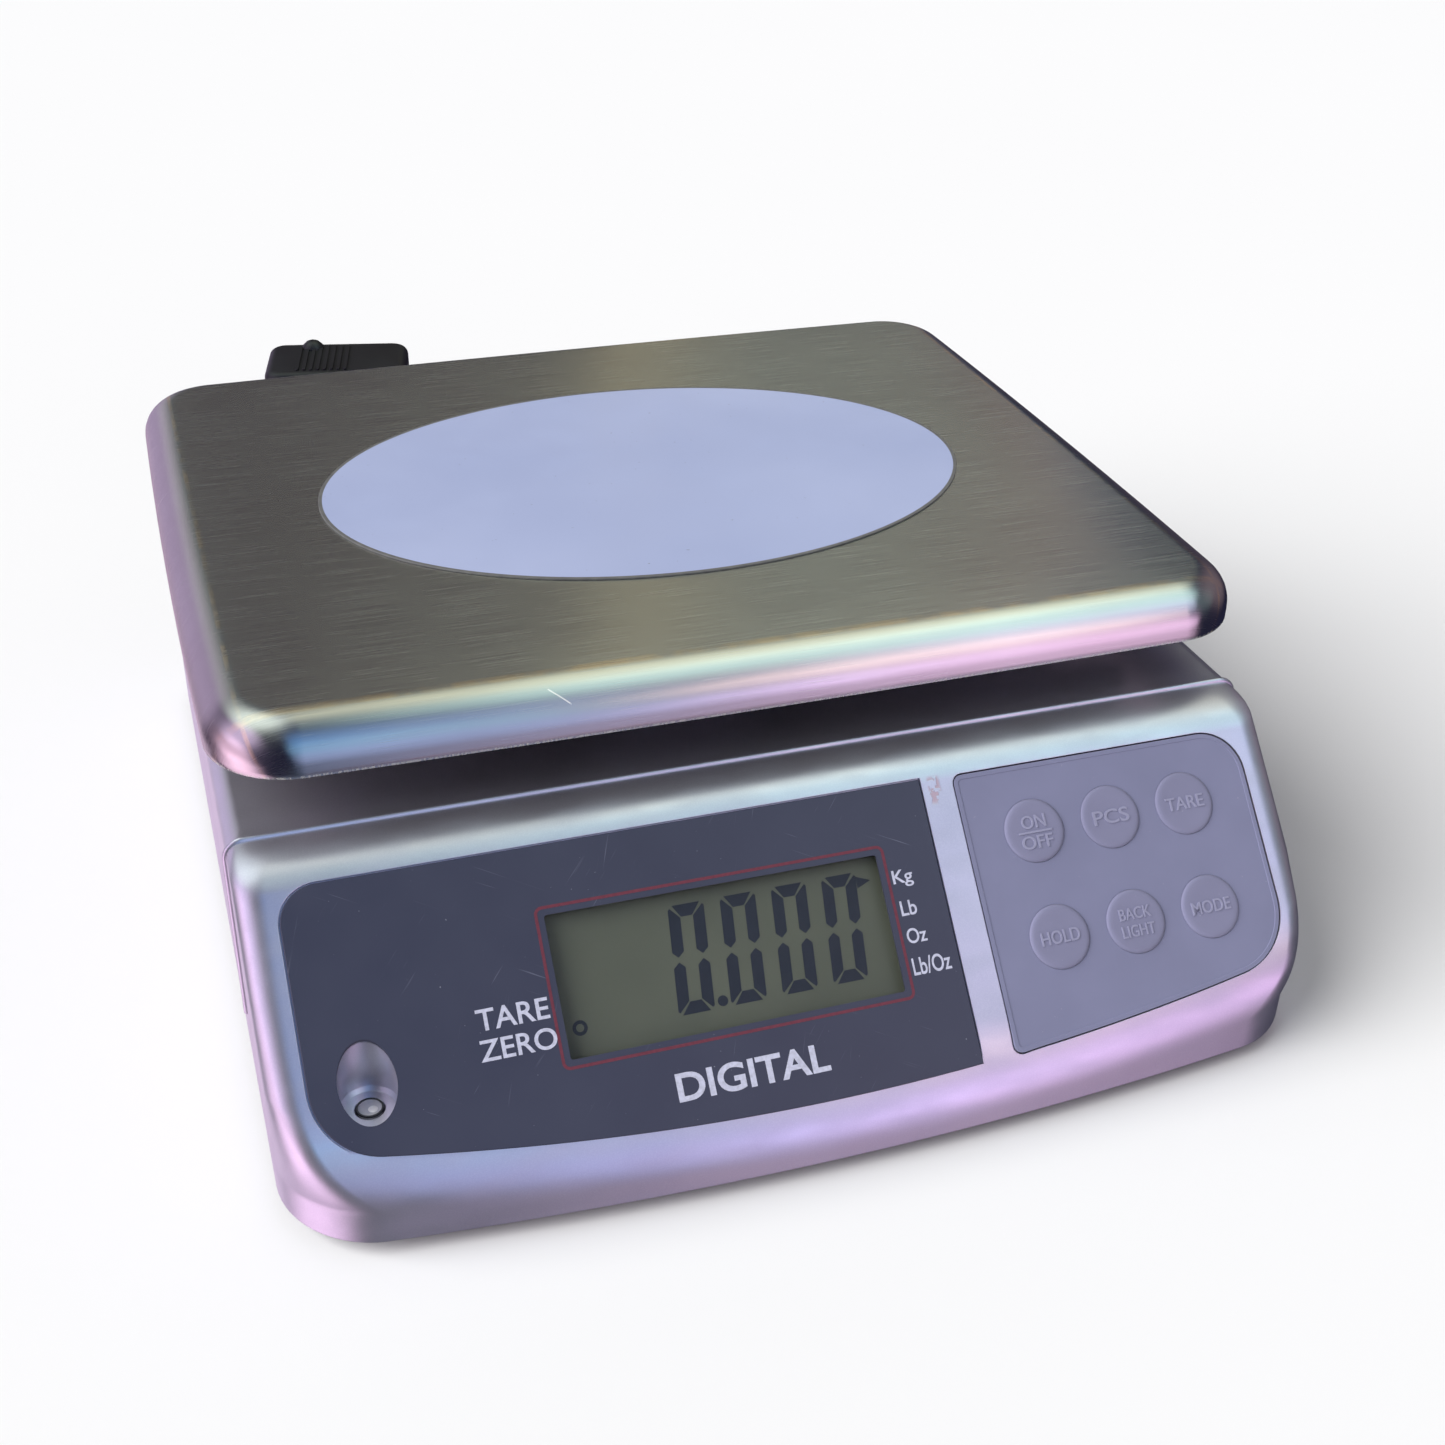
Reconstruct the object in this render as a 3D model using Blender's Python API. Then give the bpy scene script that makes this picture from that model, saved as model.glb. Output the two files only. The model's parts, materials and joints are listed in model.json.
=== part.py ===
"""Compact digital bench scale: stainless pan, load cell, inclined display and key panel.

Metres, +Z up, +X to the right of the person using it, +Y towards the back.
The origin is on the table under the middle of the scale's footprint.
"""
import math

import bmesh
import bpy
from mathutils import Matrix, Vector

MM = 0.001
GAP = 0.3 * MM                      # clearance kept between touching pieces

# Weighing pan: a shallow drawn tray, upside down
PAN_WIDTH = 240.0 * MM
PAN_DEPTH = 198.8 * MM
PAN_TOP = 95.0 * MM
PAN_SKIRT = 11.7 * MM               # from the flat top down to the rim
PAN_ROLL = 9.0 * MM                 # radius of the drawn edge
PAN_CORNER = 19.0 * MM
PAN_SHEET = 0.9 * MM
PAN_BOW = 0.9 * MM                  # how far each side bows out at its middle
PAN_CENTRE_Y = 28.0 * MM
LABEL_HALF = (82.5 * MM, 56.6 * MM)

# Case
CASE_HALF_WIDTH = 118.0 * MM
CASE_BOTTOM = 4.0 * MM
CASE_DECK = 68.5 * MM
CASE_REAR = 126.0 * MM
CASE_FRONT = -127.4 * MM            # furthest forward, at the middle of the bowed front
CASE_WALL = 2.5 * MM
FRONT_BOW = 0.58                    # per metre: y = CASE_FRONT + FRONT_BOW * x * x
CORNER = 19.5 * MM
PANEL_CORNER = 9.0 * MM             # where the sloping panel meets the sides
BULGE = 9.0 * MM                    # softness of the fold between panel and front skirt
SHOULDER = 14.5 * MM                # radius between deck and sloping panel
SIDE_FILLET = 4.0 * MM              # radius between deck and sides
BEAD_Y = -66.8 * MM                 # raised bead across the deck's front and down the sides
BEAD_RADIUS = 0.75 * MM
BEAD_FOOT = 24.0 * MM

# Sloping panel: local X to the right, local Y up the slope, local Z out of it
PANEL_ANGLE = math.radians(46.3)
PANEL_ORIGIN = Vector((0.0, -80.7 * MM, 64.43 * MM))
FILM = 0.5 * MM                     # display overlay film
FILM_POCKET = 0.7 * MM
FILM_LEFT, FILM_RIGHT = -110.0 * MM, 30.4 * MM
FILM_TOP, FILM_BOTTOM = 0.3 * MM, -63.6 * MM
KEYS_LEFT, KEYS_RIGHT = 38.4 * MM, 110.0 * MM
KEYS_TOP, KEYS_BOTTOM = -0.2 * MM, -63.4 * MM
FOOT_BOW = 0.86                     # per metre: how the panel pieces' lower edges rise
WINDOW = (-57.5 * MM, 16.6 * MM, -44.4 * MM, -14.4 * MM)
KEY_ORIGIN = (54.8 * MM, -15.4 * MM)
KEY_PITCH = (19.0 * MM, 24.1 * MM)
KEY_RADIUS = 7.1 * MM
KEY_RISE = 0.6 * MM
KEY_NAMES = ("on_off", "pieces", "tare", "hold", "backlight", "mode")
LEVEL_X, LEVEL_SLOPE = -98.3 * MM, -40.8 * MM
LEVEL_RADIUS = 5.9 * MM
LEVEL_WALL = 0.7 * MM
LEVEL_FLOOR = 28.2 * MM

# Load path
CELL_SIZE = (80.0 * MM, 18.0 * MM, 20.0 * MM)
CELL_Z = 15.0 * MM
POST_X = 27.0 * MM
ARM_REACH = (92.0 * MM, 72.0 * MM)
ARM_Z = (77.0 * MM, 87.5 * MM)
DECK_HOLE = (52.0 * MM, 42.0 * MM)

# Feet and screws
FOOT_SPOTS = ((-97.0 * MM, -88.0 * MM), (97.0 * MM, -88.0 * MM),
              (-97.0 * MM, 105.0 * MM), (97.0 * MM, 105.0 * MM))
BOSS_SPOTS = ((-104.0 * MM, -52.0 * MM), (104.0 * MM, -52.0 * MM),
              (-104.0 * MM, 84.0 * MM), (104.0 * MM, 84.0 * MM))
FLOOR_Z = (5.0 * MM, 8.0 * MM)      # bottom and top of the lower case's plate
BOARD_CENTRE = (72.0 * MM, 34.0 * MM, 13.0 * MM)
BOARD_SIZE = (50.0 * MM, 86.0 * MM, 1.6 * MM)

# Adapter and its lead
JACK = Vector((-62.0 * MM, CASE_REAR, 19.0 * MM))
LEAD_RADIUS = 1.75 * MM
ADAPTER_SIZE = (54.0 * MM, 35.0 * MM, 27.0 * MM)
ADAPTER_PLACE = Vector((-41.0 * MM, 313.0 * MM, 0.0))
ADAPTER_TURN = math.radians(-12.0)
ADAPTER_EXIT_Z = 13.0 * MM
COIL_CENTRE = Vector((-13.0 * MM, 226.0 * MM, 3.6 * MM))
COIL_RADIUS, COIL_HALF_WIDTH, COIL_HALF_HEIGHT = 21.0 * MM, 8.8 * MM, 3.6 * MM

COLOURS = {                         # base colour, metallic, roughness
    "steel": ((0.42, 0.41, 0.39), 1.0, 0.32),
    "silver_paint": ((0.60, 0.59, 0.68), 0.55, 0.38),
    "label": ((0.52, 0.56, 0.76), 0.0, 0.45),
    "film": ((0.072, 0.074, 0.115), 0.0, 0.35),
    "keypad": ((0.25, 0.25, 0.38), 0.0, 0.60),
    "clear": ((0.85, 0.88, 0.86), 0.0, 0.08),
    "liquid_crystal": ((0.115, 0.13, 0.09), 0.0, 0.30),
    "board": ((0.03, 0.16, 0.07), 0.0, 0.50),
    "white_plastic": ((0.75, 0.75, 0.73), 0.0, 0.50),
    "grey_plastic": ((0.20, 0.20, 0.22), 0.0, 0.55),
    "black_plastic": ((0.015, 0.015, 0.017), 0.0, 0.45),
    "rubber": ((0.02, 0.02, 0.02), 0.0, 0.85),
    "aluminium": ((0.62, 0.63, 0.65), 1.0, 0.35),
    "zinc": ((0.55, 0.56, 0.58), 1.0, 0.30),
    "level_fluid": ((0.55, 0.66, 0.60), 0.0, 0.10),
    "cell_sleeve": ((0.08, 0.20, 0.42), 0.0, 0.40),
}


# ---------------------------------------------------------------- helpers

def clear_scene():
    for obj in list(bpy.data.objects):
        bpy.data.objects.remove(obj, do_unlink=True)


def material(slot):
    found = bpy.data.materials.get(slot)
    if found:
        return found
    colour, metallic, roughness = COLOURS[slot]
    mat = bpy.data.materials.new(slot)
    mat.use_nodes = True
    shader = mat.node_tree.nodes["Principled BSDF"]
    shader.inputs["Base Color"].default_value = (*colour, 1.0)
    shader.inputs["Metallic"].default_value = metallic
    shader.inputs["Roughness"].default_value = roughness
    return mat


def add_mesh(name, bm, slot, smooth_angle=None):
    """Turn a bmesh into a named object with outward faces."""
    bmesh.ops.recalc_face_normals(bm, faces=bm.faces)
    mesh = bpy.data.meshes.new(name)
    bm.to_mesh(mesh)
    bm.free()
    if smooth_angle:
        mesh.shade_smooth()
        mesh.set_sharp_from_angle(angle=math.radians(smooth_angle))
    obj = bpy.data.objects.new(name, mesh)
    bpy.context.scene.collection.objects.link(obj)
    if slot:
        mesh.materials.append(material(slot))
    return obj


def add_loft(bm, loops, cap_ends=True):
    """Skin equal-length loops of points; optional flat caps close the ends."""
    rings = [[bm.verts.new(p) for p in loop] for loop in loops]
    count = len(rings[0])
    for low, high in zip(rings, rings[1:]):
        for i in range(count):
            j = (i + 1) % count
            bm.faces.new((low[i], low[j], high[j], high[i]))
    if cap_ends:
        bm.faces.new(rings[0])
        bm.faces.new(rings[-1])
    return rings


def box(name, centre, size, slot, bevel=0.0):
    bm = bmesh.new()
    bmesh.ops.create_cube(bm, size=1.0)
    bmesh.ops.scale(bm, vec=size, verts=bm.verts)
    obj = add_mesh(name, bm, slot)
    obj.location = centre
    if bevel:
        add_bevel(obj, bevel)
    return obj


def add_bevel(obj, width, segments=2, angle=40.0):
    mod = obj.modifiers.new("edge", "BEVEL")
    mod.width = width
    mod.segments = segments
    mod.limit_method = "ANGLE"
    mod.angle_limit = math.radians(angle)


def turned(name, profile, slot, sides=24):
    """A solid turned about Z from (radius, height) pairs, bottom to top."""
    bm = bmesh.new()
    loops = []
    for radius, height in profile:
        angles = [2.0 * math.pi * i / sides for i in range(sides)]
        loops.append([(radius * math.cos(a), radius * math.sin(a), height) for a in angles])
    add_loft(bm, loops)
    return add_mesh(name, bm, slot, smooth_angle=35)


def plate(name, outline, low, high, slot):
    """A flat outline in local XY, extruded from low to high."""
    bm = bmesh.new()
    add_loft(bm, [[(x, y, low) for x, y in outline], [(x, y, high) for x, y in outline]])
    return add_mesh(name, bm, slot)


def on_panel(obj):
    """Move an object that was built in the sloping panel's own axes."""
    obj.location = PANEL_ORIGIN
    obj.rotation_euler = (PANEL_ANGLE, 0.0, 0.0)
    return obj


def panel_point(x, up_slope, out=0.0):
    local = Vector((x, up_slope, out))
    return PANEL_ORIGIN + Matrix.Rotation(PANEL_ANGLE, 3, "X") @ local


def as_cutter(obj):
    obj.hide_render = True
    obj.display_type = "WIRE"
    return obj


def boolean(obj, other, operation="DIFFERENCE"):
    mod = obj.modifiers.new(other.name, "BOOLEAN")
    mod.operation = operation
    mod.solver = "EXACT"
    mod.object = as_cutter(other)


def arc(cx, cy, radius, start, end, steps):
    """Points of an arc, in degrees, both ends included."""
    points = []
    for i in range(steps + 1):
        a = math.radians(start + (end - start) * i / steps)
        points.append((cx + radius * math.cos(a), cy + radius * math.sin(a)))
    return points


def rounded_outline(left, right, bottom, top, radius, steps=4):
    return (arc(right - radius, bottom + radius, radius, -90, 0, steps)
            + arc(right - radius, top - radius, radius, 0, 90, steps)
            + arc(left + radius, top - radius, radius, 90, 180, steps)
            + arc(left + radius, bottom + radius, radius, 180, 270, steps))


# ---------------------------------------------------------------- pan

def pan_loop(inset, height):
    """A rounded rectangle whose sides bow out slightly."""
    half_w = PAN_WIDTH / 2 - inset
    half_d = PAN_DEPTH / 2 - inset
    radius = PAN_CORNER - inset
    corners = ((1, -1, -90), (1, 1, 0), (-1, 1, 90), (-1, -1, 180))
    points = []
    for sx, sy, start in corners:
        cx = sx * (half_w - PAN_BOW - radius)
        cy = sy * (half_d - PAN_BOW - radius)
        corner = arc(cx, cy, radius, start, start + 90, 6)
        points += corner
        nxt = corners[(corners.index((sx, sy, start)) + 1) % 4]
        end = (nxt[0] * (half_w - PAN_BOW - radius), nxt[1] * (half_d - PAN_BOW - radius))
        outward = Vector((math.cos(math.radians(start + 90)), math.sin(math.radians(start + 90))))
        last = Vector(corner[-1])
        first = Vector(end) + outward * radius
        for k in range(1, 6):
            t = k / 6
            points.append(tuple(last.lerp(first, t) + outward * (PAN_BOW * 4 * t * (1 - t))))
    return [(x, y + PAN_CENTRE_Y, height) for x, y in points]


def make_pan():
    outer, inner = [], []
    rim = PAN_TOP - PAN_SKIRT
    for step in range(7):
        a = math.radians(90 * step / 6)
        drop = PAN_ROLL * (1 - math.sin(a))
        outer.append(pan_loop(PAN_ROLL * (1 - math.cos(a)), PAN_TOP - drop))
        tight = PAN_ROLL - PAN_SHEET
        inner.append(pan_loop(PAN_SHEET + tight * (1 - math.cos(a)),
                              PAN_TOP - PAN_SHEET - tight * (1 - math.sin(a))))
    loops = list(reversed(outer)) + [pan_loop(0, rim), pan_loop(PAN_SHEET, rim)] + inner
    bm = bmesh.new()
    add_loft(bm, loops)
    add_mesh("weighing_pan", bm, "steel", smooth_angle=40)


def make_label():
    a, b = LABEL_HALF
    outline = [(a * math.cos(2 * math.pi * i / 96), b * math.sin(2 * math.pi * i / 96))
               for i in range(96)]
    label = plate("oval_label", outline, GAP, GAP + 0.35 * MM, "label")
    label.location = (0.0, PAN_CENTRE_Y, PAN_TOP)


# ---------------------------------------------------------------- case

def smooth_max(a, b, softness):
    h = max(softness - abs(a - b), 0.0) / softness
    return max(a, b) + h * h * softness / 4


def slope_y(height, inset):
    """Where the sloping panel, or its shoulder, stands at a height."""
    deck = CASE_DECK - inset
    radius = SHOULDER - inset
    normal_shift = inset / math.sin(PANEL_ANGLE)
    plane = (PANEL_ORIGIN.y + normal_shift
             + (height - PANEL_ORIGIN.z) / math.tan(PANEL_ANGLE))
    centre_z = deck - radius
    tangent_z = centre_z + radius * math.cos(PANEL_ANGLE)
    if height <= tangent_z:
        return plane
    tangent_plane = (PANEL_ORIGIN.y + normal_shift
                     + (tangent_z - PANEL_ORIGIN.z) / math.tan(PANEL_ANGLE))
    centre_y = tangent_plane + radius * math.sin(PANEL_ANGLE)
    return centre_y - math.sqrt(max(radius ** 2 - (height - centre_z) ** 2, 0.0))


def case_loop(height, inset):
    """One level of the case: bowed front, sides, rear and four round corners."""
    deck = CASE_DECK - inset
    fillet = SIDE_FILLET - min(inset, SIDE_FILLET - 0.5 * MM)
    into = max(height - (deck - fillet), 0.0)
    tuck = fillet - math.sqrt(max(fillet ** 2 - into ** 2, 0.0))
    half_w = CASE_HALF_WIDTH - inset - tuck
    rear = CASE_REAR - inset - tuck
    slope = slope_y(height, inset)

    def front(x):
        return smooth_max(CASE_FRONT + inset + FRONT_BOW * x * x, slope, BULGE)

    base_radius = CORNER - inset
    retreat = min(max(slope - (CASE_FRONT + inset), 0.0), base_radius)
    reach = math.sqrt(2 * base_radius * retreat - retreat ** 2)
    radius = max(PANEL_CORNER - inset, base_radius - reach)
    steps = 7
    points = []
    straight = half_w - radius
    for i in range(21):
        x = -straight + 2 * straight * i / 20
        points.append((x, front(x)))
    for i in range(1, steps + 1):
        a = math.pi / 2 * i / steps
        x = straight + radius * math.sin(a)
        points.append((x, front(x) + radius * (1 - math.cos(a))))
    points += arc(half_w - base_radius, rear - base_radius, base_radius, 0, 90, steps)
    points += arc(-half_w + base_radius, rear - base_radius, base_radius, 90, 180, steps)
    for i in range(steps, 0, -1):
        a = math.pi / 2 * i / steps
        x = -straight - radius * math.sin(a)
        points.append((x, front(x) + radius * (1 - math.cos(a))))
    return [(x, y, height) for x, y in points]


def case_levels(inset, fine):
    """Heights for the case's loops, close together where the shape turns."""
    deck = CASE_DECK - inset
    fold = 16.0 * MM
    levels = [CASE_BOTTOM, fold - 7 * MM]
    levels += [fold + k * MM for k in ((-4, -2, 0, 2, 4, 6, 8, 11, 15, 20) if fine else (0, 5, 12))]
    levels += [48.0 * MM]
    top_radius = SHOULDER - inset
    for k in range(7):
        a = PANEL_ANGLE * (1 - k / 6)
        levels.append(deck - top_radius * (1 - math.cos(a)))
    return levels


def make_upper_case():
    outer = [case_loop(z, 0.0) for z in case_levels(0.0, True)]
    inner = [case_loop(z, CASE_WALL) for z in case_levels(CASE_WALL, False)]
    bm = bmesh.new()
    add_loft(bm, list(reversed(outer)) + inner)
    case = add_mesh("upper_case", bm, "silver_paint", smooth_angle=30)
    boolean(case, make_bead(), "UNION")
    for index, (x, y) in enumerate(BOSS_SPOTS):
        boss = turned(f"boss_{index}", [(5.0 * MM, 13.0 * MM), (5.0 * MM, CASE_DECK - 1.5 * MM)],
                      None, 16)
        boss.location = (x, y, 0.0)
        boolean(case, boss, "UNION")
        bore = turned(f"boss_bore_{index}", [(1.9 * MM, 12.0 * MM), (1.9 * MM, 30.0 * MM)], None, 12)
        bore.location = (x, y, 0.0)
        boolean(case, bore)
    deck_hole = box("deck_hole", (POST_X, PAN_CENTRE_Y, CASE_DECK),
                    (DECK_HOLE[0], DECK_HOLE[1], 16 * MM), None)
    boolean(case, deck_hole)
    boolean(case, on_panel(plate("film_pocket", film_outline(GAP), -FILM_POCKET, 6 * MM, None)))
    boolean(case, on_panel(plate("keypad_opening", keypad_outline(GAP), -8 * MM, 6 * MM, None)))
    left, right, bottom, top = WINDOW
    edge = 2.3 * MM
    opening = rounded_outline(left - edge, right + edge, bottom - edge, top + edge, 1 * MM, 2)
    boolean(case, on_panel(plate("window_opening", opening, -10 * MM, 6 * MM, None)))
    boolean(case, level_bore("level_bore", LEVEL_RADIUS + LEVEL_WALL + GAP, LEVEL_FLOOR - 9 * MM))
    jack_hole = turned("jack_hole", [(5.2 * MM, -8 * MM), (5.2 * MM, 8 * MM)], None, 20)
    jack_hole.rotation_euler = (math.pi / 2, 0.0, 0.0)
    jack_hole.location = JACK
    boolean(case, jack_hole)


def make_bead():
    """A round bead that follows the case's section: up one side, across the deck, down the other."""
    path = []
    inner_w = CASE_HALF_WIDTH - SIDE_FILLET
    inner_z = CASE_DECK - SIDE_FILLET
    path.append((-CASE_HALF_WIDTH, BEAD_FOOT, -1.0, 0.0))
    for side, start, end in ((-1, 180, 90), (1, 90, 0)):
        for i in range(5):
            a = math.radians(start + (end - start) * i / 4)
            path.append((side * inner_w + SIDE_FILLET * math.cos(a),
                         inner_z + SIDE_FILLET * math.sin(a), math.cos(a), math.sin(a)))
    path.append((CASE_HALF_WIDTH, BEAD_FOOT, 1.0, 0.0))
    loops = []
    for x, z, nx, nz in path:
        loop = []
        for k in range(10):
            a = 2 * math.pi * (k + 0.5) / 10
            out = BEAD_RADIUS * math.cos(a)
            loop.append((x + nx * out, BEAD_Y + BEAD_RADIUS * math.sin(a), z + nz * out))
        loops.append(loop)
    bm = bmesh.new()
    add_loft(bm, loops)
    return add_mesh("deck_bead", bm, None)


def make_lower_case():
    """A tray that closes the case from below, with pads for the load cell, feet and battery."""
    inset = CASE_WALL + GAP
    low, high = FLOOR_Z
    rim = 13.0 * MM
    outline = case_loop(rim, inset)
    inside = case_loop(rim, inset + 2.0 * MM)
    outer = [[(x, y, z) for x, y, _ in outline] for z in (low, rim)]
    inner = [[(x, y, z) for x, y, _ in inside] for z in (rim, high)]
    bm = bmesh.new()
    add_loft(bm, outer + inner)
    tray = add_mesh("lower_case", bm, "grey_plastic")
    pad_x = -CELL_SIZE[0] / 2 + 12 * MM
    pad = box("cell_pad", (pad_x, PAN_CENTRE_Y, (high + CELL_Z - GAP) / 2 - 0.5 * MM),
              (24 * MM, 24 * MM, CELL_Z - GAP - high + 1 * MM), None)
    boolean(tray, pad, "UNION")
    for index, (x, y) in enumerate(FOOT_SPOTS):
        boss = turned(f"foot_boss_{index}", [(7.5 * MM, low + 1 * MM), (7.5 * MM, 19 * MM)], None, 20)
        boss.location = (x, y, 0.0)
        boolean(tray, boss, "UNION")
        bore = turned(f"foot_bore_{index}", [(3.0 * MM + GAP, 0.0), (3.0 * MM + GAP, 24 * MM)],
                      None, 20)
        bore.location = (x, y, 0.0)
        boolean(tray, bore)
    for index, (x, y) in enumerate(BOSS_SPOTS):
        bore = turned(f"screw_bore_{index}", [(1.9 * MM, 0.0), (1.9 * MM, 12 * MM)], None, 12)
        bore.location = (x, y, 0.0)
        boolean(tray, bore)
    for index, x in enumerate((pad_x - 6 * MM, pad_x + 6 * MM)):
        bore = turned(f"cell_bore_{index}", [(2.4 * MM, 0.0), (2.4 * MM, 20 * MM)], None, 12)
        bore.location = (x, PAN_CENTRE_Y, 0.0)
        boolean(tray, bore)
    board_bottom = BOARD_CENTRE[2] - BOARD_SIZE[2] / 2
    for index, (sx, sy) in enumerate(((-1, -1), (1, -1), (1, 1), (-1, 1))):
        post = turned(f"standoff_{index}", [(2.6 * MM, low + 1 * MM), (2.6 * MM, board_bottom - GAP)],
                      None, 12)
        post.location = (BOARD_CENTRE[0] + sx * (BOARD_SIZE[0] / 2 - 5 * MM),
                         BOARD_CENTRE[1] + sy * (BOARD_SIZE[1] / 2 - 5 * MM), 0.0)
        boolean(tray, post, "UNION")
    door_way = box("battery_way", (0.0, -52 * MM, 6 * MM), (64 * MM, 58 * MM, 8 * MM), None)
    boolean(tray, door_way)


# ---------------------------------------------------------------- panel pieces

def foot_edge(x, margin):
    """Lower edge of the panel pieces: it rises away from the middle like the bowed front."""
    return FILM_BOTTOM - margin + FOOT_BOW * x * x


def film_outline(margin=0.0):
    left, right = FILM_LEFT - margin, FILM_RIGHT + margin
    top = FILM_TOP + margin
    small, large = 8.0 * MM + margin, 15.0 * MM + margin
    points = [(right, foot_edge(right, margin)), (right, top)]
    points += arc(left + small, top - small, small, 90, 180, 6)
    corner_x = left + large
    corner_y = foot_edge(corner_x, margin) + large - 1.6 * MM
    points += arc(corner_x, corner_y, large, 180, 256, 8)
    for i in range(1, 12):
        x = corner_x + (right - corner_x) * i / 12
        points.append((x, foot_edge(x, margin)))
    return points


def keypad_outline(margin=0.0):
    left, right = KEYS_LEFT - margin, KEYS_RIGHT + margin
    top = KEYS_TOP + margin
    medium, large = 10.0 * MM + margin, 15.0 * MM + margin
    small = 2.0 * MM + margin
    corner_x = right - large
    corner_y = foot_edge(corner_x, margin) + large - 1.6 * MM
    points = arc(corner_x, corner_y, large, -76, 0, 8)
    points += arc(right - medium, top - medium, medium, 0, 90, 6)
    points += arc(left + small, top - small, small, 90, 180, 2)
    points += arc(left + small, foot_edge(left, margin) + small, small, 180, 270, 2)
    for i in range(1, 7):
        x = left + small + (corner_x - left - small) * i / 7
        points.append((x, foot_edge(x, margin)))
    return points


def level_bore(name, radius, floor):
    """A vertical bore through the sloping panel."""
    place = panel_point(LEVEL_X, LEVEL_SLOPE)
    bore = turned(name, [(radius, floor), (radius, CASE_DECK)], None, 32)
    bore.location = (place.x, place.y, 0.0)
    return bore


def make_display():
    film = on_panel(plate("display_overlay", film_outline(), -FILM_POCKET + GAP,
                          -FILM_POCKET + GAP + FILM, "film"))
    left, right, bottom, top = WINDOW
    cut = rounded_outline(left, right, bottom, top, 0.6 * MM, 2)
    boolean(film, on_panel(plate("film_window", cut, -3 * MM, 3 * MM, None)))
    boolean(film, level_bore("film_level_bore", LEVEL_RADIUS, LEVEL_FLOOR - 9 * MM))

    edge = 2.0 * MM
    lens_top = -FILM_POCKET
    lens = rounded_outline(left - edge, right + edge, bottom - edge, top + edge, 1 * MM, 2)
    on_panel(plate("lcd_lens", lens, lens_top - 1.2 * MM, lens_top, "clear"))
    glass = rounded_outline(left - 4 * MM, right + 4 * MM, bottom - 4 * MM, top + 4 * MM, 0.5 * MM, 1)
    glass_top = -CASE_WALL - GAP
    on_panel(plate("lcd_panel", glass, glass_top - 2.2 * MM, glass_top, "liquid_crystal"))
    light_top = glass_top - 2.2 * MM - GAP
    on_panel(plate("lcd_backlight", glass, light_top - 3.0 * MM, light_top, "white_plastic"))
    board_top = light_top - 3.0 * MM - GAP
    board = rounded_outline(left - 8 * MM, right + 6 * MM, bottom - 6 * MM, top + 5 * MM, 1 * MM, 1)
    on_panel(plate("display_board", board, board_top - 1.6 * MM, board_top, "board"))


def make_keypad():
    mat_low, mat_high = -2.2 * MM, -0.1 * MM
    mat = on_panel(plate("keypad_mat", keypad_outline(), mat_low, mat_high, "keypad"))
    for index, name in enumerate(KEY_NAMES):
        row, column = divmod(index, 3)
        x = KEY_ORIGIN[0] + column * KEY_PITCH[0]
        y = KEY_ORIGIN[1] - row * KEY_PITCH[1]
        hole = turned(f"key_hole_{name}", [(KEY_RADIUS + GAP, -5 * MM), (KEY_RADIUS + GAP, 5 * MM)],
                      None, 32)
        hole.location = panel_point(x, y)
        hole.rotation_euler = (PANEL_ANGLE, 0.0, 0.0)
        boolean(mat, hole)
        crown = mat_high + KEY_RISE
        key = turned(f"button_{name}", [(KEY_RADIUS, mat_low + 0.2 * MM),
                                        (KEY_RADIUS, crown - 0.35 * MM),
                                        (KEY_RADIUS - 0.12 * MM, crown - 0.12 * MM),
                                        (KEY_RADIUS - 0.5 * MM, crown)], "keypad", 32)
        key.location = panel_point(x, y)
        key.rotation_euler = (PANEL_ANGLE, 0.0, 0.0)
    board_top = mat_low - 1.2 * MM
    board = rounded_outline(KEYS_LEFT + 2 * MM, KEYS_RIGHT - 3 * MM, -50 * MM, -4 * MM, 2 * MM, 2)
    on_panel(plate("keypad_board", board, board_top - 1.6 * MM, board_top, "board"))


def make_level():
    place = panel_point(LEVEL_X, LEVEL_SLOPE)
    outer = LEVEL_RADIUS + LEVEL_WALL
    cup = turned("level_housing", [(outer, LEVEL_FLOOR - 8 * MM), (outer, 50 * MM)],
                 "silver_paint", 32)
    cup.location = (place.x, place.y, 0.0)
    well = turned("level_well", [(LEVEL_RADIUS, LEVEL_FLOOR), (LEVEL_RADIUS, 60 * MM)], None, 32)
    well.location = cup.location
    boolean(cup, well)
    seat = turned("level_seat", [(2.9 * MM, LEVEL_FLOOR - 6 * MM), (2.9 * MM, 60 * MM)], None, 24)
    seat.location = cup.location
    boolean(cup, seat)
    above = box("level_trim", panel_point(LEVEL_X, LEVEL_SLOPE, 20 * MM - FILM_POCKET),
                (40 * MM, 60 * MM, 40 * MM), None)
    above.rotation_euler = (PANEL_ANGLE, 0.0, 0.0)
    boolean(cup, above)
    vial = turned("level_vial", [(2.6 * MM, LEVEL_FLOOR - 5.7 * MM), (2.6 * MM, LEVEL_FLOOR),
                                 (2.2 * MM, LEVEL_FLOOR + 0.4 * MM)], "level_fluid", 24)
    vial.location = cup.location


# ---------------------------------------------------------------- load path

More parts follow.
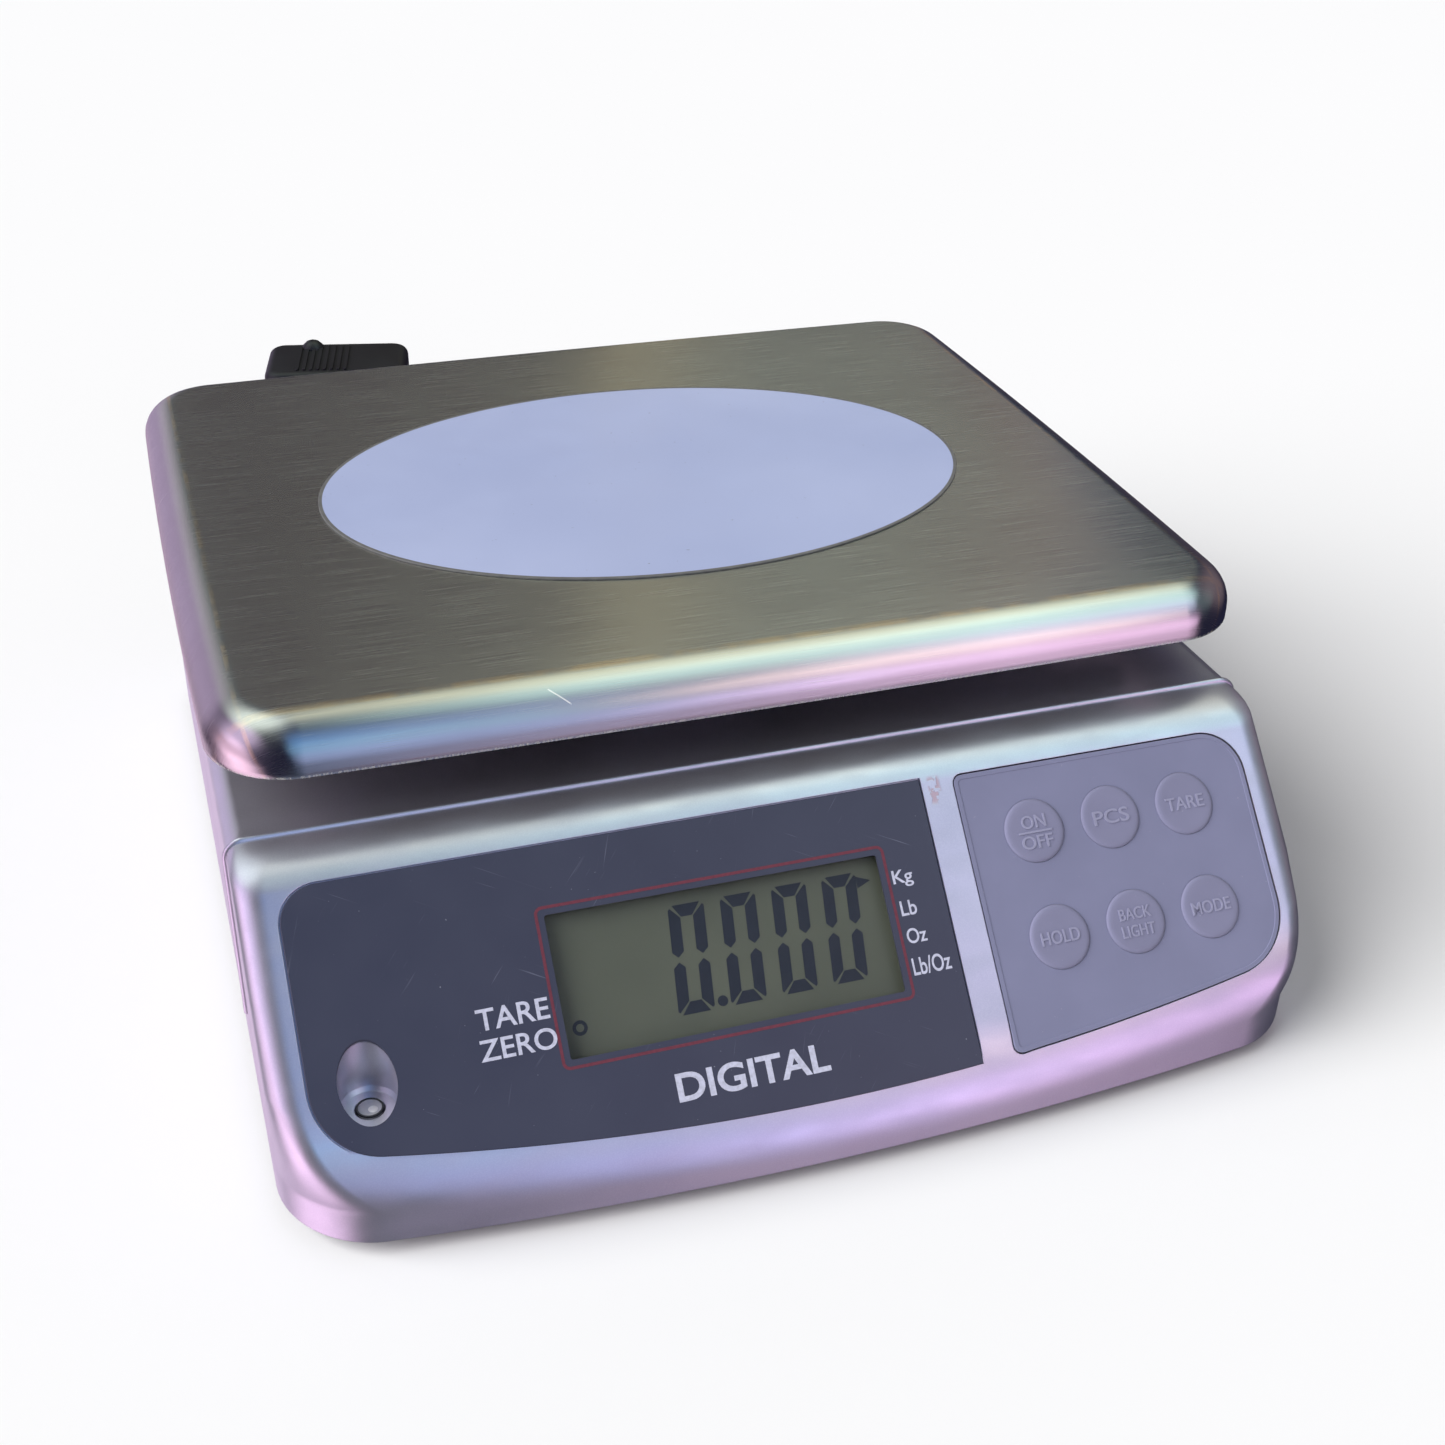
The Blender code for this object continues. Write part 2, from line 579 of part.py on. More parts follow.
def make_load_cell():
    length, depth, height = CELL_SIZE
    cell = box("load_cell", (0.0, PAN_CENTRE_Y, CELL_Z + height / 2), CELL_SIZE, "aluminium")
    for index, x in enumerate((-9 * MM, 9 * MM)):
        bore = turned(f"flexure_{index}", [(7.5 * MM, -20 * MM), (7.5 * MM, 20 * MM)], None, 24)
        bore.rotation_euler = (math.pi / 2, 0.0, 0.0)
        bore.location = (x, PAN_CENTRE_Y, CELL_Z + height / 2)
        boolean(cell, bore)
    link = box("flexure_slot", (0.0, PAN_CENTRE_Y, CELL_Z + height / 2),
               (18 * MM, 30 * MM, 8 * MM), None)
    boolean(cell, link)
    fixed_x = -length / 2 + 12 * MM
    low = FLOOR_Z[0]
    for index, x in enumerate((fixed_x - 6 * MM, fixed_x + 6 * MM)):
        bore = turned(f"cell_tap_{index}", [(2.4 * MM, -1 * MM), (2.4 * MM, 12 * MM)], None, 12)
        bore.location = (x, PAN_CENTRE_Y, CELL_Z)
        boolean(cell, bore)
        screw = turned(f"cell_screw_{index + 1}", [(4.0 * MM, 2.2 * MM), (4.0 * MM, low - GAP),
                                                   (2.0 * MM, low - GAP + 0.1 * MM),
                                                   (2.0 * MM, CELL_Z + 9 * MM)], "zinc", 16)
        screw.location = (x, PAN_CENTRE_Y, 0.0)
    free_x = POST_X + 1.0 * MM
    cell_top = CELL_Z + height
    spacer = box("support_spacer", (free_x, PAN_CENTRE_Y, cell_top + GAP + 2.5 * MM),
                 (24 * MM, 22 * MM, 5 * MM), "aluminium")
    post_low = cell_top + 2 * GAP + 5 * MM
    support = make_support(free_x, post_low)
    for index, x in enumerate((free_x - 6 * MM, free_x + 6 * MM)):
        for target, name, start, end in ((cell, "free_tap", cell_top - 12 * MM, cell_top + 1 * MM),
                                         (spacer, "spacer_bore", cell_top - 1 * MM, post_low),
                                         (support, "post_bore", post_low - 1 * MM, 95 * MM)):
            bore = turned(f"{name}_{index}", [(2.4 * MM, start), (2.4 * MM, end)], None, 12)
            bore.location = (x, PAN_CENTRE_Y, 0.0)
            boolean(target, bore)
        head = ARM_Z[1] + GAP
        screw = turned(f"support_screw_{index + 1}", [(2.0 * MM, cell_top - 10 * MM),
                                                      (2.0 * MM, head - 0.1 * MM), (3.9 * MM, head),
                                                      (3.9 * MM, head + 3.2 * MM)], "zinc", 16)
        screw.location = (x, PAN_CENTRE_Y, 0.0)
    stop = turned("overload_stop", [(3.0 * MM, FLOOR_Z[1] + GAP), (3.0 * MM, CELL_Z - 1.2 * MM)],
                  "zinc", 16)
    stop.location = (free_x, PAN_CENTRE_Y, 0.0)


def make_support(post_x, post_low):
    """Cast cross that carries the pan: four arms on a post that stands on the load cell."""
    low, high = ARM_Z
    middle_z = (low + high) / 2
    support = box("pan_support", (0.0, PAN_CENTRE_Y, middle_z), (72 * MM, 46 * MM, high - low),
                  "aluminium")
    post = box("support_post", (post_x, PAN_CENTRE_Y, (post_low + middle_z) / 2),
               (30 * MM, 24 * MM, middle_z - post_low), None)
    boolean(support, post, "UNION")
    reach = math.hypot(*ARM_REACH)
    angle = math.atan2(ARM_REACH[1], ARM_REACH[0])
    for index, turn in enumerate((angle, math.pi - angle, math.pi + angle, -angle)):
        arm = box(f"arm_{index}", (0.0, 0.0, 0.0), (reach, 13 * MM, high - low - 1 * MM), None)
        arm.location = (math.cos(turn) * reach / 2, PAN_CENTRE_Y + math.sin(turn) * reach / 2,
                        middle_z)
        arm.rotation_euler = (0.0, 0.0, turn)
        boolean(support, arm, "UNION")
        tip = turned(f"arm_tip_{index}", [(9 * MM, low + 1 * MM), (9 * MM, high - 0.2 * MM)], None, 24)
        tip.location = (math.cos(turn) * reach, PAN_CENTRE_Y + math.sin(turn) * reach, 0.0)
        boolean(support, tip, "UNION")
        pad_low = high - 0.2 * MM + GAP
        pad_high = PAN_TOP - PAN_SHEET - GAP
        pad = turned(f"pan_pad_{index + 1}", [(7.5 * MM, pad_low), (7.5 * MM, pad_high - 1.5 * MM),
                                              (6.0 * MM, pad_high)], "rubber", 24)
        pad.location = tip.location
    return support


# ---------------------------------------------------------------- electronics, battery, feet

def make_inside():
    box("main_board", BOARD_CENTRE, BOARD_SIZE, "board")
    tray_y = -52 * MM
    tray = box("battery_tray", (0.0, tray_y, 17.6 * MM), (64 * MM, 60 * MM, 18 * MM), "black_plastic")
    boolean(tray, box("tray_well", (0.0, tray_y, 15.0 * MM), (59 * MM, 56 * MM, 18 * MM), None))
    for index in range(4):
        cell = turned(f"battery_cell_{index + 1}", [(6.9 * MM, -24 * MM), (6.9 * MM, 23 * MM),
                                                    (2.6 * MM, 23.1 * MM), (2.6 * MM, 24.5 * MM)],
                      "cell_sleeve", 20)
        cell.rotation_euler = (math.pi / 2 * (1 if index % 2 else -1), 0.0, 0.0)
        cell.location = ((index - 1.5) * 14.4 * MM, tray_y, 15.6 * MM)
    door = box("battery_door", (0.0, tray_y, 3.7 * MM), (68 * MM, 64 * MM, 1.8 * MM), "grey_plastic")
    add_bevel(door, 0.4 * MM, 1)
    wall_inner = CASE_REAR - CASE_WALL
    jack = box("dc_jack", (JACK.x, wall_inner - GAP - 6.5 * MM, JACK.z), (10 * MM, 13 * MM, 11 * MM),
               "black_plastic")
    bore = turned("jack_bore", [(3.1 * MM, -12.4 * MM), (3.1 * MM, 1 * MM)], None, 20)
    bore.rotation_euler = (-math.pi / 2, 0.0, 0.0)
    bore.location = (JACK.x, wall_inner - GAP, JACK.z)
    boolean(jack, bore)


def make_feet():
    for index, (x, y) in enumerate(FOOT_SPOTS):
        pad = turned(f"foot_pad_{index + 1}", [(8.6 * MM, 0.0), (9.2 * MM, 0.8 * MM),
                                               (8.6 * MM, 2.4 * MM)], "rubber", 24)
        pad.location = (x, y, 0.0)
        stud = turned(f"foot_screw_{index + 1}", [(8.0 * MM, 2.4 * MM + GAP), (8.0 * MM, 4.6 * MM),
                                                  (3.0 * MM, 4.7 * MM), (3.0 * MM, 17.0 * MM)],
                      "zinc", 24)
        stud.location = (x, y, 0.0)
    for index, (x, y) in enumerate(BOSS_SPOTS):
        low = FLOOR_Z[0]
        screw = turned(f"case_screw_{index + 1}", [(3.2 * MM, 2.9 * MM), (3.2 * MM, low - GAP),
                                                   (1.5 * MM, low - GAP + 0.1 * MM),
                                                   (1.5 * MM, 24 * MM)], "zinc", 12)
        screw.location = (x, y, 0.0)


# ---------------------------------------------------------------- adapter and lead

def spline_points(route, spacing):
    """Evenly spaced points on one smooth curve through a short list of points."""
    ends = [route[0] * 2 - route[1]] + route + [route[-1] * 2 - route[-2]]
    dense = []
    for a, b, c, d in zip(ends, ends[1:], ends[2:], ends[3:]):
        for k in range(24):
            t = k / 24
            dense.append(0.5 * (2 * b + (c - a) * t + (2 * a - 5 * b + 4 * c - d) * t * t
                                + (3 * b - a - 3 * c + d) * t ** 3))
    dense.append(route[-1])
    total = sum((q - p).length for p, q in zip(dense, dense[1:]))
    count = max(round(total / spacing), 3)
    points, walked, target = [dense[0]], 0.0, total / count
    for p, q in zip(dense, dense[1:]):
        step = (q - p).length
        while walked + step >= target - 1e-9 and len(points) < count:
            points.append(p.lerp(q, (target - walked) / step))
            target += total / count
        walked += step
    points.append(dense[-1])
    return points


def make_tube(name, route, spacing=7.0 * MM):
    curve = bpy.data.curves.new(name, "CURVE")
    curve.dimensions = "3D"
    curve.bevel_depth = LEAD_RADIUS
    curve.bevel_resolution = 2
    curve.use_fill_caps = True
    points = spline_points([Vector(p) * MM for p in route], spacing)
    spline = curve.splines.new("POLY")
    spline.points.add(len(points) - 1)
    for place, point in zip(points, spline.points):
        point.co = (*place, 1.0)
    curve.materials.append(material("rubber"))
    tube = bpy.data.objects.new(name, curve)
    bpy.context.scene.collection.objects.link(tube)


PLUG_LEAD = [(-62.0, 160.6, 19.0), (-62.0, 167.0, 18.0), (-61.6, 175.0, 13.6), (-60.2, 183.0, 7.4),
             (-57.0, 191.0, 3.0), (-52.0, 198.5, 1.9), (-46.6, 205.0, 1.9), (-43.0, 211.0, 1.9)]
ADAPTER_LEAD = [(-48.5, 277.6, 13.0), (-49.6, 272.2, 12.4), (-50.9, 265.0, 8.4), (-50.6, 258.0, 4.4),
                (-48.8, 251.0, 2.3), (-45.8, 245.0, 2.2), (-43.2, 240.6, 3.0)]


def make_lead():
    plug = turned("dc_plug", [(2.7 * MM, -11.0 * MM), (2.7 * MM, 1.4 * MM), (4.8 * MM, 1.5 * MM),
                              (5.0 * MM, 4.0 * MM), (5.0 * MM, 20.0 * MM), (3.4 * MM, 22.0 * MM),
                              (2.6 * MM, 34.3 * MM)], "black_plastic", 20)
    plug.rotation_euler = (-math.pi / 2, 0.0, 0.0)
    plug.location = JACK
    make_tube("plug_lead", PLUG_LEAD)
    make_tube("adapter_lead", ADAPTER_LEAD)
    sides = []
    for i in range(12):
        a = 2 * math.pi * i / 12
        sides.append((COIL_RADIUS + COIL_HALF_WIDTH * math.cos(a), COIL_HALF_HEIGHT * math.sin(a)))
    bm = bmesh.new()
    rings = []
    for i in range(40):
        a = 2 * math.pi * i / 40
        rings.append([bm.verts.new((r * math.cos(a), r * math.sin(a), z)) for r, z in sides])
    for ring, following in zip(rings, rings[1:] + rings[:1]):
        for i in range(12):
            j = (i + 1) % 12
            bm.faces.new((ring[i], ring[j], following[j], following[i]))
    coil = add_mesh("lead_coil", bm, "rubber", smooth_angle=60)
    coil.location = COIL_CENTRE


def by_adapter(obj, x, y, z):
    """Place an object in the adapter's own axes, which are turned a little on the table."""
    obj.location = ADAPTER_PLACE + Matrix.Rotation(ADAPTER_TURN, 3, "Z") @ Vector((x, y, z))
    obj.rotation_euler.z = ADAPTER_TURN
    return obj


def make_adapter():
    width, depth, height = ADAPTER_SIZE
    body = box("adapter_body", (0.0, 0.0, 0.0), ADAPTER_SIZE, "black_plastic")
    by_adapter(body, 0.0, 0.0, height / 2)
    add_bevel(body, 3.0 * MM, 3)
    for index in range(8):
        rib = box(f"grip_rib_{index}", (0.0, 0.0, 0.0), (1.2 * MM, depth - 9 * MM, 1.2 * MM), None)
        by_adapter(rib, -14.5 * MM + index * 2.6 * MM, 0.0, height)
        boolean(body, rib, "UNION")
    relief_length = 18.0 * MM
    relief = turned("adapter_relief", [(2.4 * MM, 0.0), (3.0 * MM, 4.0 * MM),
                                       (4.2 * MM, relief_length)], "black_plastic", 16)
    relief.rotation_euler.x = -math.pi / 2
    by_adapter(relief, 0.0, -depth / 2 - GAP - relief_length, ADAPTER_EXIT_Z)
    for index, side in enumerate((-1, 1)):
        blade = box(f"adapter_blade_{index + 1}", (0.0, 0.0, 0.0), (1.5 * MM, 17 * MM, 6.3 * MM),
                    "zinc")
        by_adapter(blade, side * 6.35 * MM, depth / 2 + GAP + 8.5 * MM, height / 2)


def main():
    clear_scene()
    make_pan()
    make_label()
    make_upper_case()
    make_lower_case()
    make_display()
    make_keypad()
    make_level()
    make_load_cell()
    make_inside()
    make_feet()
    make_lead()
    make_adapter()


main()
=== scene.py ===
"""Looks for a compact digital bench scale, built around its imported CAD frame.

Metres, in the CAD's own frame: +X to the user's right, +Y to the back, +Z up.
Every piece is modelled in place with its object at the origin, so object
coordinates in the materials are metres in that same frame.
"""
import json
import math

import bmesh
import bpy
from mathutils import Matrix, Vector


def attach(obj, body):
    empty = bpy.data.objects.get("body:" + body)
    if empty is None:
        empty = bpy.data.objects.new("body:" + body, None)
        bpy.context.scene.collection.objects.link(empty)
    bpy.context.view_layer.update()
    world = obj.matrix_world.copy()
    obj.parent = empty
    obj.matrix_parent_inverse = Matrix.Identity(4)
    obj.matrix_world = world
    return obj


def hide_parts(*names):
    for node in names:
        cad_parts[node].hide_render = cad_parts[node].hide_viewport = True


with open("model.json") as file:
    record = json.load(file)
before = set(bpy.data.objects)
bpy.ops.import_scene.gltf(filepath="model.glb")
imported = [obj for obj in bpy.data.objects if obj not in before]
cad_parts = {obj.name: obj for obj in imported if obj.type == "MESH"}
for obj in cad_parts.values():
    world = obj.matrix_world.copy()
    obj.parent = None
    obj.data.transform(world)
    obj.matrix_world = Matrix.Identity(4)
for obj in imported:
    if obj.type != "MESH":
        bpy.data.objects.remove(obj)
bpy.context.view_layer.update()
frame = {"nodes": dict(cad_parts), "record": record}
nodes = frame["nodes"]

MM = 0.001

# Camera: angles in radians, lens and sensor in millimetres
CAMERA_PLACE = Vector((-125.274 * MM, -391.754 * MM, 290.392 * MM))
CAMERA_YAW, CAMERA_PITCH, CAMERA_ROLL = 0.337914, 0.551253, 0.0261776
CAMERA_LENS, CAMERA_SENSOR = 46.473, 36.0

# Weighing pan
PAN_WIDTH, PAN_DEPTH, PAN_TOP = 240.0 * MM, 198.8 * MM, 95.0 * MM
PAN_SKIRT = 11.7 * MM
PAN_ROLL = 9.0 * MM
PAN_CORNER = 19.0 * MM
PAN_SHEET = 0.9 * MM
PAN_BOW = 0.9 * MM
PAN_CENTRE_Y = 28.0 * MM
ROLL_STEPS, ROLL_STEPS_UNDER = 14, 8
LABEL_HALF = (82.5 * MM, 56.6 * MM)
LABEL_BORDER, LABEL_EDGE, LABEL_THICKNESS, LABEL_SIDES = 0.9 * MM, 0.08 * MM, 0.45 * MM, 180

# Case
CASE_HALF_WIDTH = 118.0 * MM
CASE_BOTTOM, CASE_DECK = 4.0 * MM, 68.5 * MM
CASE_REAR, CASE_FRONT = 126.0 * MM, -127.4 * MM
CASE_WALL = 2.5 * MM
FRONT_BOW = 0.58                    # per metre: y = CASE_FRONT + FRONT_BOW * x * x
CORNER = 19.5 * MM
PANEL_CORNER = 6.0 * MM
BULGE = 9.0 * MM
SHOULDER_BACK, SHOULDER_DOWN = 9.0 * MM, 6.2 * MM
SIDE_FILLET = 4.0 * MM
SKIRT_TOP, SLOPE_LEVELS = 34.0 * MM, [41.0 * MM, 49.0 * MM]
BEAD_Y, BEAD_RADIUS, BEAD_FOOT = -66.8 * MM, 0.75 * MM, 24.0 * MM
DECK_HOLE = (52.0 * MM, 42.0 * MM)
POST_X = 27.0 * MM
JACK = Vector((-62.0 * MM, CASE_REAR, 19.0 * MM))
JACK_HOLE = 5.2 * MM
ALONG_Y = Matrix.Rotation(-math.pi / 2, 4, "X")
GAP = 0.3 * MM

# Sloping panel: local X to the right, local Y up the slope, local Z out of it
PANEL_ANGLE = math.radians(46.3)
PANEL_ORIGIN = Vector((0.0, -80.7 * MM, 64.43 * MM))
PANEL = Matrix.Translation(PANEL_ORIGIN) @ Matrix.Rotation(PANEL_ANGLE, 4, "X")
FILM_LEFT, FILM_RIGHT = -110.0 * MM, 30.4 * MM
FILM_TOP, FILM_BOTTOM = 0.3 * MM, -63.6 * MM
FILM_CORNERS = (8.0 * MM, 15.0 * MM)                # upper and lower left
FILM_POCKET, FILM_THICKNESS, FILM_CHAMFER = 0.7 * MM, 0.5 * MM, 0.18 * MM
FILM_SURFACE = 0.1 * MM
KEYS_LEFT, KEYS_RIGHT = 38.4 * MM, 110.0 * MM
KEYS_TOP = -0.2 * MM
KEYS_CORNERS = (10.0 * MM, 15.0 * MM, 2.0 * MM)     # upper right, lower right, both left
FOOT_BOW = 0.86
WINDOW = (-57.5 * MM, 16.6 * MM, -44.4 * MM, -14.4 * MM)
LCD_SURFACE = -2.8 * MM
DIGIT_COUNT, DIGIT_LEFT, DIGIT_TOP, DIGIT_PITCH = 4, -32.9, -17.0, 11.6     # millimetres
DIGIT_BOX, DIGIT_LEAN = (8.0, 23.0), math.tan(math.radians(5.4))
KEY_ORIGIN, KEY_PITCH = (54.8 * MM, -15.4 * MM), (19.0 * MM, 24.1 * MM)
KEY_RADIUS, KEY_PLAY, KEY_CROWN, KEY_SIDES = 7.1 * MM, 0.15 * MM, 0.30 * MM, 64
KEY_BAR = (4.1 * MM, -0.55 * MM, -0.1 * MM)     # half width, bottom and top of the bar in ON / OFF
MAT_TOP = -0.1 * MM
LEVEL_X, LEVEL_SLOPE = -98.3 * MM, -40.8 * MM
LEVEL_RADIUS, LEVEL_WALL, LEVEL_FLOOR = 5.9 * MM, 0.7 * MM, 28.2 * MM
LEVEL_BORE_FOOT = LEVEL_FLOOR - 9 * MM

# Adapter and its lead
LEAD_RADIUS, LEAD_STEP = 1.75 * MM, 4.5 * MM
COIL_TURNS, COIL_TURNS_BELOW, COIL_STEPS = 9, 4, 20
ADAPTER_SIZE = (54.0 * MM, 35.0 * MM, 27.0 * MM)
ADAPTER_PLACE = Vector((-41.0 * MM, 313.0 * MM, 0.0))
ADAPTER_TURN = math.radians(-12.0)
ADAPTER_EXIT_Z = 13.0 * MM
RIB_START, RIB_PITCH, RIB_HALF, RIB_COUNT = -14.5 * MM, 2.6 * MM, 0.65 * MM, 8
RELIEF_LENGTH, RELIEF_RINGS = 18.0 * MM, 7
COIL_CENTRE = Vector((-13.0 * MM, 226.0 * MM, 0.0))
COIL_OUTER, COIL_INNER, COIL_MIDDLE = 28.0 * MM, 14.0 * MM, 21.0 * MM
TIE_HALF, TIE_THICKNESS, TIE_WIDTH = (9.6 * MM, 4.2 * MM), (0.9 * MM, 0.5 * MM), 8.0 * MM
PLUG_LEAD = [(-62.0, 160.6, 19.0), (-62.0, 167.0, 18.0), (-61.6, 175.0, 13.6), (-60.2, 183.0, 7.4),
             (-57.0, 191.0, 3.0), (-52.0, 198.5, 1.9), (-46.6, 205.0, 1.9), (-43.0, 211.0, 1.9),
             (-41.4, 218.0, 1.8)]
ADAPTER_LEAD = [(-41.4, 233.0, 4.7), (-43.2, 240.6, 3.0), (-45.8, 245.0, 2.2), (-48.8, 251.0, 2.3),
                (-50.6, 258.0, 4.4), (-50.9, 265.0, 8.4), (-49.6, 272.2, 12.4), (-48.5, 277.6, 13.0)]


# ---------------------------------------------------------------- camera

def make_camera():
    level = Vector((math.cos(CAMERA_YAW), -math.sin(CAMERA_YAW), 0.0))
    heading = Vector((math.sin(CAMERA_YAW), math.cos(CAMERA_YAW), 0.0))
    ahead = heading * math.cos(CAMERA_PITCH) - Vector((0.0, 0.0, math.sin(CAMERA_PITCH)))
    upright = level.cross(ahead)
    right = level * math.cos(CAMERA_ROLL) + upright * math.sin(CAMERA_ROLL)
    up = upright * math.cos(CAMERA_ROLL) - level * math.sin(CAMERA_ROLL)
    data = bpy.data.cameras.new("camera")
    data.sensor_width = CAMERA_SENSOR
    data.lens = CAMERA_LENS
    data.clip_start, data.clip_end = 0.01, 50.0
    camera = new_object("camera", data)
    turn = Matrix((right, up, -ahead)).transposed().to_4x4()
    camera.matrix_world = Matrix.Translation(CAMERA_PLACE) @ turn
    bpy.context.scene.camera = camera


# ---------------------------------------------------------------- materials

class Finish:
    """One node material, built a few nodes at a time."""

    def __init__(self, name, colour, roughness, metallic=0.0, **sockets):
        self.mat = bpy.data.materials.new(name)
        self.mat.use_nodes = True
        self.tree = self.mat.node_tree
        self.shader = self.tree.nodes["Principled BSDF"]
        self.put("Base Color", (*colour, 1.0))
        self.put("Roughness", roughness)
        self.put("Metallic", metallic)
        for key, value in sockets.items():
            self.put(key.replace("_", " "), value)
        self.place = self.node("TexCoord").outputs["Object"]

    def put(self, socket, value):
        target = self.shader.inputs[socket]
        if isinstance(value, bpy.types.NodeSocket):
            self.tree.links.new(value, target)
        else:
            target.default_value = value

    def node(self, kind, **inputs):
        made = self.tree.nodes.new("ShaderNode" + kind)
        for key, value in inputs.items():
            self.feed(made.inputs[key.replace("_", " ")], value)
        return made

    def feed(self, target, value):
        if isinstance(value, bpy.types.NodeSocket):
            self.tree.links.new(value, target)
        else:
            target.default_value = value

    def scaled(self, stretch, place=None):
        node = self.node("VectorMath")
        node.operation = "MULTIPLY"
        self.feed(node.inputs[0], place or self.place)
        node.inputs[1].default_value = stretch
        return node.outputs["Vector"]

    def noise(self, size, detail=2.0, stretch=None, place=None, distortion=0.0):
        """Noise whose features are about size metres across, stretched along axes where asked."""
        vector = place or self.place
        if stretch:
            vector = self.scaled(stretch, vector)
        node = self.node("TexNoise", Vector=vector, Scale=1.0 / size, Detail=detail,
                         Distortion=distortion)
        return node.outputs["Fac"]

    def cells(self, size, place=None):
        node = self.node("TexVoronoi", Vector=place or self.place, Scale=1.0 / size)
        return node.outputs["Distance"]

    def remap(self, value, low, high, to_low=0.0, to_high=1.0, smooth=False):
        node = self.node("MapRange", Value=value, From_Min=low, From_Max=high, To_Min=to_low,
                         To_Max=to_high)
        node.interpolation_type = "SMOOTHSTEP" if smooth else "LINEAR"
        return node.outputs["Result"]

    def maths(self, operation, a, b=0.0):
        node = self.node("Math")
        node.operation = operation
        for socket, value in zip(node.inputs, (a, b)):
            self.feed(socket, value)
        return node.outputs["Value"]

    def mix(self, share, first, second):
        node = self.node("Mix")
        node.data_type = "RGBA"
        self.feed(node.inputs["Factor"], share)
        for socket, value in ((node.inputs[6], first), (node.inputs[7], second)):
            plain = not isinstance(value, bpy.types.NodeSocket)
            self.feed(socket, (*value, 1.0) if plain and len(value) == 3 else value)
        return node.outputs[2]

    def blend(self, value, first, second, low=0.3, high=0.7, share=1.0):
        """First where value is low, and up to a share of second where it is high."""
        return self.mix(self.remap(value, low, high, 0.0, share), first, second)

    def axes(self, place=None):
        node = self.node("SeparateXYZ", Vector=place or self.place)
        return node.outputs["X"], node.outputs["Y"], node.outputs["Z"]

    def on_panel(self):
        """Object coordinates in the sloping panel's own axes."""
        shift = self.node("VectorMath")
        shift.operation = "SUBTRACT"
        self.feed(shift.inputs[0], self.place)
        shift.inputs[1].default_value = PANEL_ORIGIN
        turn = self.node("VectorRotate", Vector=shift.outputs["Vector"])
        turn.rotation_type = "X_AXIS"
        turn.inputs["Angle"].default_value = -PANEL_ANGLE
        return turn.outputs["Vector"]

    def bump(self, height, depth, normal=None):
        node = self.node("Bump", Height=height, Distance=depth, Strength=1.0)
        if normal:
            self.feed(node.inputs["Normal"], normal)
        return node.outputs["Normal"]

    def band(self, value, centre, half, soft):
        """1 where value is within half of centre, falling to 0 over soft."""
        away = self.maths("ABSOLUTE", self.maths("SUBTRACT", value, centre))
        return self.remap(away, half, half + soft, 1.0, 0.0, smooth=True)


def tint(colour, factor):
    return tuple(c * factor for c in colour)


def moulded(name, colour, roughness=0.5, grain=0.35 * MM, depth=0.02 * MM, dust=0.15):
    """Moulded plastic: fine spark-eroded grain, mottled sheen, a little settled dust."""
    f = Finish(name, colour, roughness)
    blotch = f.noise(14 * MM, 3.0)
    speck = f.noise(0.5 * MM, 2.0)
    base = f.blend(blotch, tint(colour, 0.88), tint(colour, 1.12))
    dusty = f.maths("MULTIPLY", f.remap(speck, 0.62, 0.75), dust)
    f.put("Base Color", f.mix(dusty, base, (0.42, 0.41, 0.40)))
    f.put("Roughness", f.remap(blotch, 0.25, 0.75, roughness - 0.07, roughness + 0.08))
    f.put("Normal", f.bump(f.noise(grain, 3.0), depth))
    return f.mat


def bare_metal(name, colour, roughness, lines=(1.0, 1.0, 1.0), grain=0.25 * MM, depth=0.008 * MM):
    """Plated, cast or drawn metal: directional grain, tarnish in patches."""
    f = Finish(name, colour, roughness, 1.0)
    cloud = f.noise(6 * MM, 4.0)
    grained = f.noise(grain, 3.0, lines)
    base = f.blend(cloud, tint(colour, 0.72), tint(colour, 1.08), 0.3, 0.72)
    f.put("Base Color", f.blend(grained, base, tint(colour, 0.5), 0.55, 0.8, 0.35))
    f.put("Roughness", f.remap(cloud, 0.25, 0.75, roughness - 0.08, roughness + 0.12))
    f.put("Normal", f.bump(grained, depth))
    return f.mat


# ---------------------------------------------------------------- mesh helpers

def link(name, mesh, body, *materials):
    obj = new_object(name, mesh)
    for mat in materials:
        mesh.materials.append(mat)
    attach(obj, body)
    return obj


def new_object(name, data):
    obj = bpy.data.objects.new(name, data)
    bpy.context.scene.collection.objects.link(obj)
    return obj


def finish_mesh(name, bm, angle=35.0, matrix=None):
    bmesh.ops.recalc_face_normals(bm, faces=bm.faces)
    if matrix:
        bm.transform(matrix)
    mesh = bpy.data.meshes.new(name)
    bm.to_mesh(mesh)
    bm.free()
    mesh.shade_smooth()
    mesh.set_sharp_from_angle(angle=math.radians(angle))
    return mesh


def add_loft(bm, loops, cap_ends=True):
    rings = [[bm.verts.new(p) for p in loop] for loop in loops]
    count = len(rings[0])
    for low, high in zip(rings, rings[1:]):
        for i in range(count):
            j = (i + 1) % count
            bm.faces.new((low[i], low[j], high[j], high[i]))
    if cap_ends:
        bm.faces.new(rings[0])
        bm.faces.new(rings[-1])
    return rings


def arc(cx, cy, radius, start, end, steps):
    points = []
    for i in range(steps + 1):
        a = math.radians(start + (end - start) * i / steps)
        points.append((cx + radius * math.cos(a), cy + radius * math.sin(a)))
    return points


def rounded_outline(left, right, bottom, top, radius, steps=6):
    return (arc(right - radius, bottom + radius, radius, -90, 0, steps)
            + arc(right - radius, top - radius, radius, 0, 90, steps)
            + arc(left + radius, top - radius, radius, 90, 180, steps)
            + arc(left + radius, bottom + radius, radius, 180, 270, steps))


